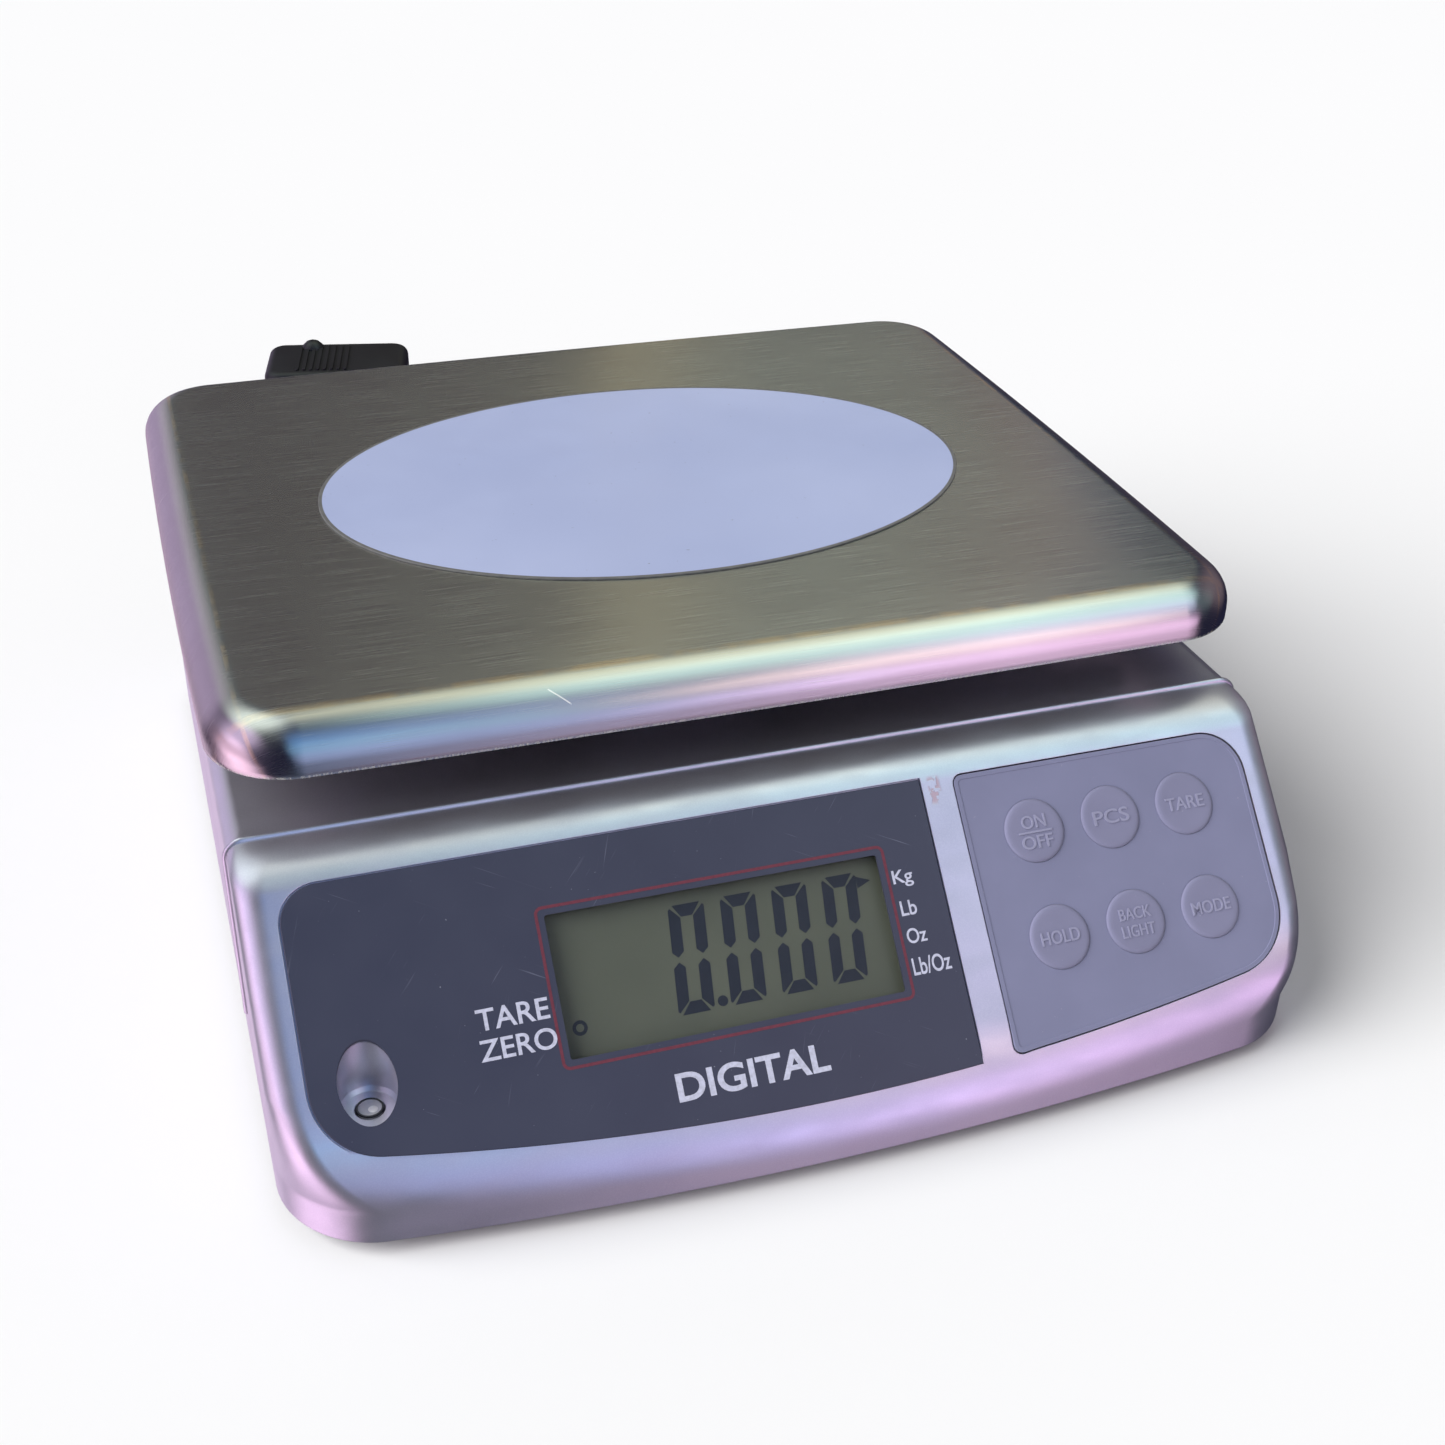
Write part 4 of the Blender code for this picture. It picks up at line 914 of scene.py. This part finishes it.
# For each key: word, width, bottom and top from the key's middle in millimetres
KEY_WORDS = {
    "on_off": (("ON", 5.9, 0.5, 3.5), ("OFF", 7.6, -4.1, -1.1)),
    "pieces": (("PCS", 8.9, -1.6, 1.7),),
    "tare": (("TARE", 9.6, -1.4, 1.6),),
    "hold": (("HOLD", 9.4, -1.5, 1.5),),
    "backlight": (("BACK", 7.9, 0.5, 3.2), ("LIGHT", 8.2, -3.4, -0.7)),
    "mode": (("MODE", 9.8, -1.4, 1.5),),
}


def make_keys():
    mat_finish = silicone("keypad_mat", (0.212, 0.216, 0.340))
    key_finish = silicone("key_face", (0.222, 0.220, 0.338))
    legend_finish = silicone("key_legend", (0.30, 0.297, 0.43))
    rim, step = 1.0 * MM, 0.14 * MM
    edge = [(0.0, -2.2 * MM), (0.0, MAT_TOP - 0.1 * MM), (-0.12 * MM, MAT_TOP), (-rim, MAT_TOP),
            (-rim - 0.1 * MM, MAT_TOP - step)]
    loops = [loop for margin, z in edge for loop in flat_loops(keypad_outline(margin), z)]
    mesh = lofted("keypad_sheet", loops, 25, PANEL)
    cuts = []
    for name, x, y in key_spots():
        hole = [(KEY_RADIUS + KEY_PLAY, z) for z in (-5 * MM, 5 * MM)]
        cuts.append(("DIFFERENCE", turned_cutter(hole, on_slope(x, y), KEY_SIDES)))
    mat = link("keypad_sheet", resmooth(carve(mesh, cuts), 25), "case", mat_finish)
    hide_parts("keypad_mat")
    profile = [(KEY_RADIUS, -2.0 * MM), (KEY_RADIUS + 0.09 * MM, MAT_TOP - 0.5 * MM),
               (KEY_RADIUS + 0.09 * MM, MAT_TOP - 0.06 * MM), (KEY_RADIUS, MAT_TOP + 0.10 * MM),
               (KEY_RADIUS - 0.3 * MM, KEY_CROWN - 0.1 * MM), (KEY_RADIUS - 0.75 * MM, KEY_CROWN),
               (KEY_RADIUS - 1.6 * MM, KEY_CROWN - 0.02 * MM)]
    key_loops = turned_loops(profile, KEY_SIDES)
    low, high = KEY_CROWN - 0.1 * MM, KEY_CROWN + 0.16 * MM
    for name, x, y in key_spots():
        matrix = on_slope(x, y)
        mesh = lofted(f"key_{name}", key_loops, 35, matrix)
        key = link(f"key_{name}", mesh, f"key_{name}", key_finish)
        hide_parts(f"button_{name}")
        bm = bmesh.new()
        for word, width, bottom, top in KEY_WORDS[name]:
            print_text(bm, word, (-width / 2 * MM, width / 2 * MM, bottom * MM, top * MM), (low, high))
        if name == "on_off":
            bar_x, bar_low, bar_high = KEY_BAR
            add_plate(bm, [(-bar_x, bar_low), (bar_x, bar_low), (bar_x, bar_high), (-bar_x, bar_high)],
                      low, high)
        legend = link(f"legend_{name}", finish_mesh(f"legend_{name}", bm, 20, matrix),
                      f"key_{name}", legend_finish)


def silicone(name, colour):
    """Silicone rubber: matt, faintly pebbled, with handled patches and lint."""
    f = Finish(name, colour, 0.55, Sheen_Weight=0.12, Sheen_Roughness=0.5)
    panel = f.on_panel()
    cloud = f.noise(18 * MM, 3.0, place=panel)
    lint = f.remap(f.noise(0.8 * MM, 2.0, place=panel), 0.75, 0.80, 0.0, 0.5)
    base = f.blend(cloud, tint(colour, 0.95), tint(colour, 1.06))
    f.put("Base Color", f.mix(lint, base, (0.42, 0.42, 0.52)))
    f.put("Roughness", f.remap(cloud, 0.3, 0.7, 0.50, 0.62))
    f.put("Normal", f.bump(f.noise(0.35 * MM, 3.0, place=panel), 0.006 * MM))
    return f.mat


# ---------------------------------------------------------------- spirit level

def make_level():
    outer = LEVEL_RADIUS + LEVEL_WALL
    tall, fillet = 52 * MM, 0.8 * MM
    profile = [(outer, LEVEL_FLOOR - 8 * MM), (outer, tall), (LEVEL_RADIUS, tall),
               (LEVEL_RADIUS, LEVEL_FLOOR + fillet), (LEVEL_RADIUS - fillet, LEVEL_FLOOR),
               (3.1 * MM, LEVEL_FLOOR), (2.9 * MM, LEVEL_FLOOR - 0.3 * MM),
               (2.9 * MM, LEVEL_FLOOR - 6 * MM)]
    bm = bmesh.new()
    add_loft(bm, turned_loops(profile, 64))
    bm.transform(level_place())
    bmesh.ops.recalc_face_normals(bm, faces=bm.faces)
    normal = Vector((0.0, -math.sin(PANEL_ANGLE), math.cos(PANEL_ANGLE)))
    whole = bm.verts[:] + bm.edges[:] + bm.faces[:]
    cut = bmesh.ops.bisect_plane(bm, geom=whole, plane_co=PANEL_ORIGIN - normal * 0.25 * MM,
                                 plane_no=normal, clear_outer=True)
    edges = [e for e in cut["geom_cut"] if isinstance(e, bmesh.types.BMEdge)]
    bmesh.ops.bridge_loops(bm, edges=edges)
    cup = link("level_cup", finish_mesh("level_cup", bm, 40), "case", paint_finish())
    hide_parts("level_housing")
    top = LEVEL_FLOOR + 0.45 * MM
    glass = turned_loops([(2.6 * MM, LEVEL_FLOOR - 5.7 * MM), (2.6 * MM, LEVEL_FLOOR),
                          (2.45 * MM, LEVEL_FLOOR + 0.3 * MM), (1.9 * MM, top)], 48)
    f = Finish("vial_clear", (0.33, 0.34, 0.40), 0.08, Coat_Weight=0.6, Coat_Roughness=0.03)
    f.put("Base Color", f.mix(f.noise(2 * MM, 2.0), (0.29, 0.30, 0.37), (0.40, 0.41, 0.47)))
    vial = link("level_glass", lofted("level_glass", glass, 40, level_place()), "case", f.mat)
    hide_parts("level_vial")
    bm = bmesh.new()
    outer_ring, inner_ring = [arc(0.0, 0.0, r * MM, 0, 352, 44) for r in (2.75, 2.4)]
    add_frame(bm, outer_ring, inner_ring, LEVEL_FLOOR + 0.02 * MM, top)
    ring = link("level_ring", finish_mesh("level_ring", bm, 40, level_place()), "case",
                moulded("level_ring_black", (0.02, 0.02, 0.025), 0.4))
    bubble = turned_loops([(1.0 * MM, 0.0), (0.85 * MM, 0.1 * MM), (0.4 * MM, 0.17 * MM)], 32)
    afloat = level_place() @ Matrix.Translation((0.55 * MM, -0.75 * MM, top - 0.01 * MM))
    f = Finish("bubble_air", (0.55, 0.55, 0.60), 0.1)
    f.put("Base Color", f.mix(f.noise(1 * MM, 2.0), (0.48, 0.48, 0.55), (0.66, 0.66, 0.70)))
    drop = link("level_bubble", lofted("level_bubble", bubble, 50, afloat), "case", f.mat)


# ---------------------------------------------------------------- adapter and lead

def smooth_route(route, spacing):
    """A smooth curve through the route's points, stepped evenly at about the spacing."""
    ends = [route[0] * 2 - route[1]] + route + [route[-1] * 2 - route[-2]]
    dense = []
    for a, b, c, d in zip(ends, ends[1:], ends[2:], ends[3:]):
        for k in range(24):
            t = k / 24
            dense.append(0.5 * (2 * b + (c - a) * t + (2 * a - 5 * b + 4 * c - d) * t * t
                                + (3 * b - a - 3 * c + d) * t ** 3))
    dense.append(route[-1])
    total = sum((q - p).length for p, q in zip(dense, dense[1:]))
    count = max(round(total / spacing), 3)
    points, walked, target = [dense[0]], 0.0, total / count
    for p, q in zip(dense, dense[1:]):
        step = (q - p).length
        while walked + step >= target - 1e-9 and len(points) < count:
            points.append(p.lerp(q, (target - walked) / step))
            target += total / count
        walked += step
    points.append(dense[-1])
    return points


def coil_points():
    """Nine turns: a flat spiral inwards on the table, up one turn, and a spiral outwards on top."""
    pitch = 2 * LEAD_RADIUS
    points = []
    for k in range(COIL_TURNS * COIL_STEPS + 1):
        turn = k / COIL_STEPS
        above = turn - COIL_TURNS_BELOW - 1
        radius = max(COIL_OUTER - pitch * turn, COIL_INNER) if above <= 0 else COIL_INNER + pitch * above
        climb = min(max(above + 1.0, 0.0), 1.0)
        height = LEAD_RADIUS + pitch * math.sqrt(1.0 - (1.0 - climb) ** 2)
        a = math.pi - 2 * math.pi * turn
        points.append(COIL_CENTRE + Vector((radius * math.cos(a), radius * math.sin(a), height)))
    return points


def make_lead():
    start = [Vector(p) * MM for p in PLUG_LEAD]
    end = [Vector(p) * MM for p in ADAPTER_LEAD]
    coil = coil_points()
    first = smooth_route(start + [coil[0]], LEAD_STEP)
    last = smooth_route([coil[-1]] + end, LEAD_STEP)
    points = first[:-1] + coil + last[1:]
    curve = bpy.data.curves.new("adapter_cord", "CURVE")
    curve.dimensions = "3D"
    curve.bevel_depth = LEAD_RADIUS
    curve.bevel_resolution = 4
    curve.use_fill_caps = True
    spline = curve.splines.new("POLY")
    spline.points.add(len(points) - 1)
    for place, point in zip(points, spline.points):
        point.co = (*place, 1.0)
    curve.materials.append(moulded("cord_jacket", (0.018, 0.018, 0.019), 0.5, 0.5 * MM, 0.01 * MM))
    cord = new_object("adapter_cord", curve)
    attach(cord, "case")
    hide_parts("plug_lead", "lead_coil", "adapter_lead")
    tie = make_tie()
    return cord, points[0], tie


def make_tie():
    """A hook-and-loop strap round the coil's far side."""
    half_w, half_h = TIE_HALF
    side, flat = TIE_THICKNESS
    outline = rounded_outline(-half_w, half_w, -half_h, half_h, 2.6 * MM, 6)
    inner = rounded_outline(-half_w + side, half_w - side, -half_h + flat, half_h - flat, 1.8 * MM, 6)
    bm = bmesh.new()
    add_frame(bm, outline, inner, -TIE_WIDTH / 2, TIE_WIDTH / 2)
    for v in bm.verts:
        v.co = v.co.xzy
    bm.transform(Matrix.Translation(COIL_CENTRE + Vector((COIL_MIDDLE, 0.0, half_h))))
    f = Finish("strap_cloth", (0.03, 0.03, 0.033), 0.8, Sheen_Weight=0.4)
    weave = f.noise(0.5 * MM, 2.0, (1.0, 2.2, 1.0))
    f.put("Base Color", f.blend(weave, (0.018, 0.018, 0.02), (0.06, 0.06, 0.065), 0.35, 0.7))
    f.put("Normal", f.bump(weave, 0.12 * MM))
    tie = link("coil_tie", finish_mesh("coil_tie", bm, 35), "case", f.mat)
    return tie


def adapter_matrix(x=0.0, y=0.0, z=0.0):
    turn = Matrix.Rotation(ADAPTER_TURN, 4, "Z")
    return Matrix.Translation(ADAPTER_PLACE) @ turn @ Matrix.Translation((x, y, z))


def make_adapter():
    width, depth, height = ADAPTER_SIZE
    half_w, half_d = width / 2, depth / 2

    def loop(inset, z):
        radius = max(6.5 * MM - inset, 1.5 * MM)
        outline = rounded_outline(-half_w + inset, half_w - inset, -half_d + inset, half_d - inset,
                                  radius, 8)
        return [(x, y, z) for x, y in outline]

    edge, seam = 3.2 * MM, 0.25 * MM
    loops = [loop(1.0 * MM, 0.0), loop(0.2 * MM, 0.4 * MM), loop(0.0, 1.2 * MM), loop(0.0, 13.2 * MM),
             loop(seam, 13.4 * MM), loop(seam, 13.9 * MM), loop(0.0, 14.1 * MM)]
    for step in range(7):
        a = math.pi / 2 * step / 6
        loops.append(loop(edge * (1 - math.cos(a)), height - edge * (1 - math.sin(a))))
    cuts = []
    for index in range(RIB_COUNT):
        x = RIB_START + index * RIB_PITCH
        outline = rounded_outline(x - RIB_HALF, x + RIB_HALF, -half_d + 4.0 * MM, half_d - 4.5 * MM,
                                  0.6 * MM, 4)
        crest = [(px, py * 0.99) for px, py in outline]
        rib = flat_loops(outline, height - 1 * MM, height + 0.35 * MM)
        rib += flat_loops(crest, height + 0.6 * MM)
        cuts.append(("UNION", cutter(rib)))
    lump = [(5.2 * MM, -6 * MM), (5.0 * MM, -1.5 * MM), (3.9 * MM, 0.9 * MM), (2.4 * MM, 2.3 * MM),
            (0.9 * MM, 2.9 * MM)]
    lump_place = Matrix.Translation((-10.0 * MM, half_d - 5.6 * MM, height))
    cuts.append(("UNION", turned_cutter(lump, lump_place, 24)))
    mesh = resmooth(carve(lofted("adapter_case", loops), cuts), 35)
    mesh.transform(adapter_matrix())
    shell = link("adapter_case", mesh, "case",
                 moulded("adapter_black", (0.006, 0.006, 0.0075), 0.46, 0.4 * MM, 0.015 * MM, 0.02))
    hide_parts("adapter_body")
    profile, groove = [], 0.45 * MM
    for k in range(RELIEF_RINGS):
        z = RELIEF_LENGTH * k / RELIEF_RINGS
        radius = (2.35 + 1.7 * k / RELIEF_RINGS) * MM
        profile += [(radius, z), (radius, z + 1.5 * MM), (radius - groove, z + 1.7 * MM),
                    (radius - groove, z + 2.3 * MM)]
    profile.append((4.2 * MM, RELIEF_LENGTH))
    matrix = adapter_matrix(0.0, -half_d - GAP - RELIEF_LENGTH, ADAPTER_EXIT_Z)
    mesh = lofted("adapter_relief_boot", turned_loops(profile, 32), 40, matrix @ ALONG_Y)
    relief = link("adapter_relief_boot", mesh, "case",
                  moulded("relief_rubber", (0.02, 0.02, 0.021), 0.6))
    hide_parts("adapter_relief")
    return shell, relief


def make_plug():
    """The DC plug: grip and ringed tail, with radius and height in millimetres from the jack's face."""
    profile = [(2.7, -11.0), (2.75, 1.2), (4.6, 1.3), (5.0, 1.8), (5.0, 19.6), (4.7, 20.4)]
    for k in range(6):
        z = 21.0 + 2.2 * k
        radius = 4.1 - 0.27 * k
        groove = radius - 0.55
        profile += [(radius, z), (radius - 0.05, z + 1.2), (groove, z + 1.35), (groove, z + 2.0)]
    profile.append((2.3, 34.3))
    loops = turned_loops([(r * MM, z * MM) for r, z in profile], 36)
    mesh = lofted("dc_plug_moulding", loops, 40, Matrix.Translation(JACK) @ ALONG_Y)
    plug = link("dc_plug_moulding", mesh, "case", moulded("plug_black", (0.018, 0.018, 0.019), 0.5))
    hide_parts("dc_plug")
    return plug


# ---------------------------------------------------------------- CAD nodes that stay

def finish_nodes():
    def board():
        f = Finish("circuit_board", (0.03, 0.16, 0.07), 0.35)
        trace = f.node("TexBrick", Vector=f.place, Scale=240.0)
        trace.inputs["Color1"].default_value = (0.02, 0.13, 0.05, 1)
        trace.inputs["Color2"].default_value = (0.03, 0.18, 0.08, 1)
        trace.inputs["Mortar"].default_value = (0.10, 0.32, 0.14, 1)
        f.put("Base Color", trace.outputs["Color"])
        f.put("Normal", f.bump(f.noise(1 * MM, 3.0), 0.02 * MM))
        return f.mat

    def olive():
        f = Finish("lcd_glass", (0.110, 0.121, 0.090), 0.45)
        cloud = f.noise(24 * MM, 2.0)
        f.put("Base Color", f.blend(cloud, (0.100, 0.111, 0.083), (0.122, 0.134, 0.101)))
        f.put("Normal", f.bump(f.noise(0.3 * MM, 2.0), 0.002 * MM))
        return f.mat

    def lens():
        f = Finish("window_lens", (0.02, 0.02, 0.022), 0.12, Alpha=0.06)
        f.put("Roughness", f.remap(f.noise(12 * MM, 3.0), 0.3, 0.7, 0.08, 0.2))
        return f.mat

    def sleeve():
        f = Finish("battery_wrap", (0.08, 0.20, 0.42), 0.3, Coat_Weight=0.5)
        _, y, _ = f.axes()
        gold = f.band(y, -63 * MM, 6 * MM, 0.3 * MM)
        base = f.mix(gold, (0.05, 0.13, 0.32), (0.55, 0.36, 0.12))
        f.put("Base Color", f.blend(f.noise(3 * MM, 3.0), base, (0.1, 0.1, 0.12), 0.4, 0.8, 0.3))
        f.put("Normal", f.bump(f.noise(2 * MM, 2.0), 0.02 * MM))
        return f.mat

    finishes = {
        "aluminium": bare_metal("cast_aluminium", (0.50, 0.50, 0.52), 0.42, grain=0.6 * MM,
                                depth=0.03 * MM),
        "zinc": bare_metal("zinc_plate", (0.56, 0.57, 0.58), 0.3, (1.0, 1.0, 3.0)),
        "rubber": moulded("foot_rubber", (0.022, 0.022, 0.022), 0.8, 0.6 * MM, 0.04 * MM),
        "grey_plastic": moulded("base_grey", (0.19, 0.19, 0.205), 0.55, 0.5 * MM, 0.03 * MM),
        "black_plastic": moulded("inner_black", (0.016, 0.016, 0.018), 0.45),
        "white_plastic": moulded("diffuser_white", (0.72, 0.72, 0.70), 0.5),
        "board": board(), "liquid_crystal": olive(), "clear": lens(), "cell_sleeve": sleeve(),
    }
    slots = {s["node"]: s["material_slot"] for s in frame["record"]["subparts"]}
    for name, node in nodes.items():
        mat = finishes.get(slots[name])
        if mat and not node.hide_render:
            node.data.materials.clear()
            node.data.materials.append(mat)
    for name in ("pan_support", "lower_case", "battery_door", "load_cell"):
        mod = nodes[name].modifiers.new("edge", "BEVEL")
        mod.width = 0.4 * MM
        mod.segments = 2
        mod.limit_method = "ANGLE"
        mod.angle_limit = math.radians(40)


# ---------------------------------------------------------------- studio

CREAM, STRAW, AMBER = (0.96, 1.0, 0.75), (1.0, 0.86, 0.46), (1.0, 0.62, 0.3)
AQUA, MINT = (0.67, 1.0, 1.0), (0.87, 1.0, 0.94)
PERIWINKLE, CORNFLOWER = (0.6, 0.64, 1.0), (0.48, 0.58, 1.0)
AZURE, COBALT = (0.29, 0.62, 1.0), (0.17, 0.43, 1.0)
BLUSH, ROSE, MAUVE = (1.0, 0.75, 0.79), (1.0, 0.67, 0.92), (1.0, 0.76, 1.0)
ORCHID, LILAC = (0.98, 0.64, 1.0), (0.85, 0.67, 1.0)
GLOSS_AMBIENT = (0.02, 0.02, 0.05)

# Soft cards that only the gloss sees: azimuth from +Y towards +X, elevation, half angle and
# softness in degrees, strength, tint. By place: overhead, ahead, low ahead, left, behind, right.
CARDS = (
    (45, 64, 8, 18, 1.30, CREAM), (115, 62, 8, 20, 1.35, AQUA), (-60, 62, 8, 22, 1.85, MINT),
    (138, 38, 5, 14, 1.15, PERIWINKLE), (157, 42, 5, 14, 0.25, AMBER), (178, 42, 5, 16, 0.70, COBALT),
    (153, 22, 4, 11, 2.10, BLUSH), (168, 20, 4, 12, 0.30, MINT), (182, 18, 5, 14, 0.92, AZURE),
    (148, -8, 6, 16, 1.70, ORCHID), (172, -8, 6, 16, 1.05, CORNFLOWER),
    (148, -40, 8, 20, 0.50, ROSE), (172, -42, 8, 20, 0.04, AQUA),
    (-96, 28, 12, 18, 1.30, LILAC), (-96, -6, 12, 18, 1.25, ROSE), (-96, -42, 12, 20, 1.60, ROSE),
    (-28, 4, 8, 22, 0.70, LILAC), (-14, 24, 4, 14, 0.16, CREAM), (-8, -42, 12, 26, 0.85, MAUVE),
    (110, 28, 8, 18, 0.16, AQUA), (75, 15, 10, 24, 0.19, BLUSH),
)
# Upright strips behind the scale that the brushed pan draws out: azimuth, half width and softness
# in degrees, strength, tint.
STRIPS = (
    (15.3, 0.30, 0.45, 0.36, STRAW), (16.7, 0.35, 0.45, 0.40, STRAW), (18.3, 0.30, 0.50, 0.16, STRAW),
    (22.5, 3.40, 2.20, 0.13, CREAM), (29.5, 0.70, 0.60, 0.35, AMBER), (6.0, 6.0, 3.0, 0.04, AMBER),
    (31.2, 0.40, 0.60, 0.34, CORNFLOWER),
)
STRIP_FOOT, STRIP_HEAD = (-0.2, 0.1), (0.8, 0.6)    # fade in and out over the ray's height
EVEN_LIGHT, PAPER = (0.335, 0.335, 0.345, 1.0), (1.0, 1.0, 1.0, 1.0)
SUN_ENERGY, SUN_ANGLE = 4.1, math.radians(55)
SUN_FROM = Vector((-0.80, -0.04, 0.56))
FLOOR_HALF = 6.0


def make_studio():
    world = bpy.data.worlds.new("studio")
    bpy.context.scene.world = world
    world.use_nodes = True
    tree = world.node_tree
    tree.nodes.clear()

    def node(kind, operation=None, *values):
        made = tree.nodes.new("ShaderNode" + kind)
        if operation:
            made.operation = operation
        for socket, value in zip(made.inputs, values):
            if isinstance(value, bpy.types.NodeSocket):
                tree.links.new(value, socket)
            else:
                socket.default_value = value
        return made

    def fade(value, low, high):
        made = node("MapRange", None, value, low, high)
        made.interpolation_type = "SMOOTHSTEP"
        return made.outputs["Result"]

    def glow(total, strength, colour, share):
        card = node("VectorMath", "SCALE", tint(colour, strength))
        tree.links.new(share, card.inputs["Scale"])
        return node("VectorMath", "ADD", total, card.outputs["Vector"]).outputs["Vector"]

    ray = node("TexCoord").outputs["Generated"]
    x, y, z = node("SeparateXYZ", None, ray).outputs
    total = GLOSS_AMBIENT
    for azimuth, elevation, half, soft, strength, colour in CARDS:
        a, e = math.radians(azimuth), math.radians(elevation)
        towards = (math.sin(a) * math.cos(e), math.cos(a) * math.cos(e), math.sin(e))
        dot = node("VectorMath", "DOT_PRODUCT", ray, towards).outputs["Value"]
        share = fade(dot, math.cos(math.radians(half + soft)), math.cos(math.radians(half)))
        total = glow(total, strength, colour, share)
    heading = node("Math", "ARCTAN2", x, y).outputs["Value"]
    low_sky = node("Math", "MULTIPLY", fade(z, *STRIP_FOOT), fade(z, *STRIP_HEAD)).outputs["Value"]
    for azimuth, half, soft, strength, colour in STRIPS:
        aside = node("Math", "SUBTRACT", heading, math.radians(azimuth)).outputs["Value"]
        aside = node("Math", "ABSOLUTE", aside).outputs["Value"]
        across = fade(aside, math.radians(half + soft), math.radians(half))
        share = node("Math", "MULTIPLY", across, low_sky).outputs["Value"]
        total = glow(total, strength, colour, share)
    gloss, even, paper = [node("Background", None, colour).outputs["Background"]
                          for colour in (total, EVEN_LIGHT, PAPER)]
    path = node("LightPath")
    lit = node("MixShader", None, path.outputs["Is Glossy Ray"], even, gloss)
    seen = node("MixShader", None, path.outputs["Is Camera Ray"], lit.outputs["Shader"], paper)
    node("OutputWorld", None, seen.outputs["Shader"])

    sun = bpy.data.lights.new("key", "SUN")
    sun.energy = SUN_ENERGY
    sun.angle = SUN_ANGLE
    lamp = new_object("key", sun)
    lamp.rotation_euler = SUN_FROM.to_track_quat("Z", "Y").to_euler()
    lamp.visible_glossy = False

    bm = bmesh.new()
    bmesh.ops.create_grid(bm, x_segments=1, y_segments=1, size=FLOOR_HALF)
    mesh = bpy.data.meshes.new("floor")
    bm.to_mesh(mesh)
    bm.free()
    floor = new_object("floor", mesh)
    f = Finish("floor_paper", (0.90, 0.90, 0.90), 0.9)
    f.put("Base Color", f.mix(f.noise(400 * MM, 2.0), (0.895, 0.895, 0.895), (0.905, 0.905, 0.905)))
    f.put("Specular IOR Level", 0.0)
    mesh.materials.append(f.mat)
    floor.visible_glossy = False


def main():
    make_camera()
    cord, exit_point, tie = make_lead()
    shell, relief = make_adapter()
    plug = make_plug()
    make_pan()
    make_label()
    make_case()
    make_overlay()
    make_print()
    make_lcd_image()
    make_keys()
    make_level()
    finish_nodes()
    make_studio()
    bpy.context.scene.view_settings.view_transform = "Standard"


main()
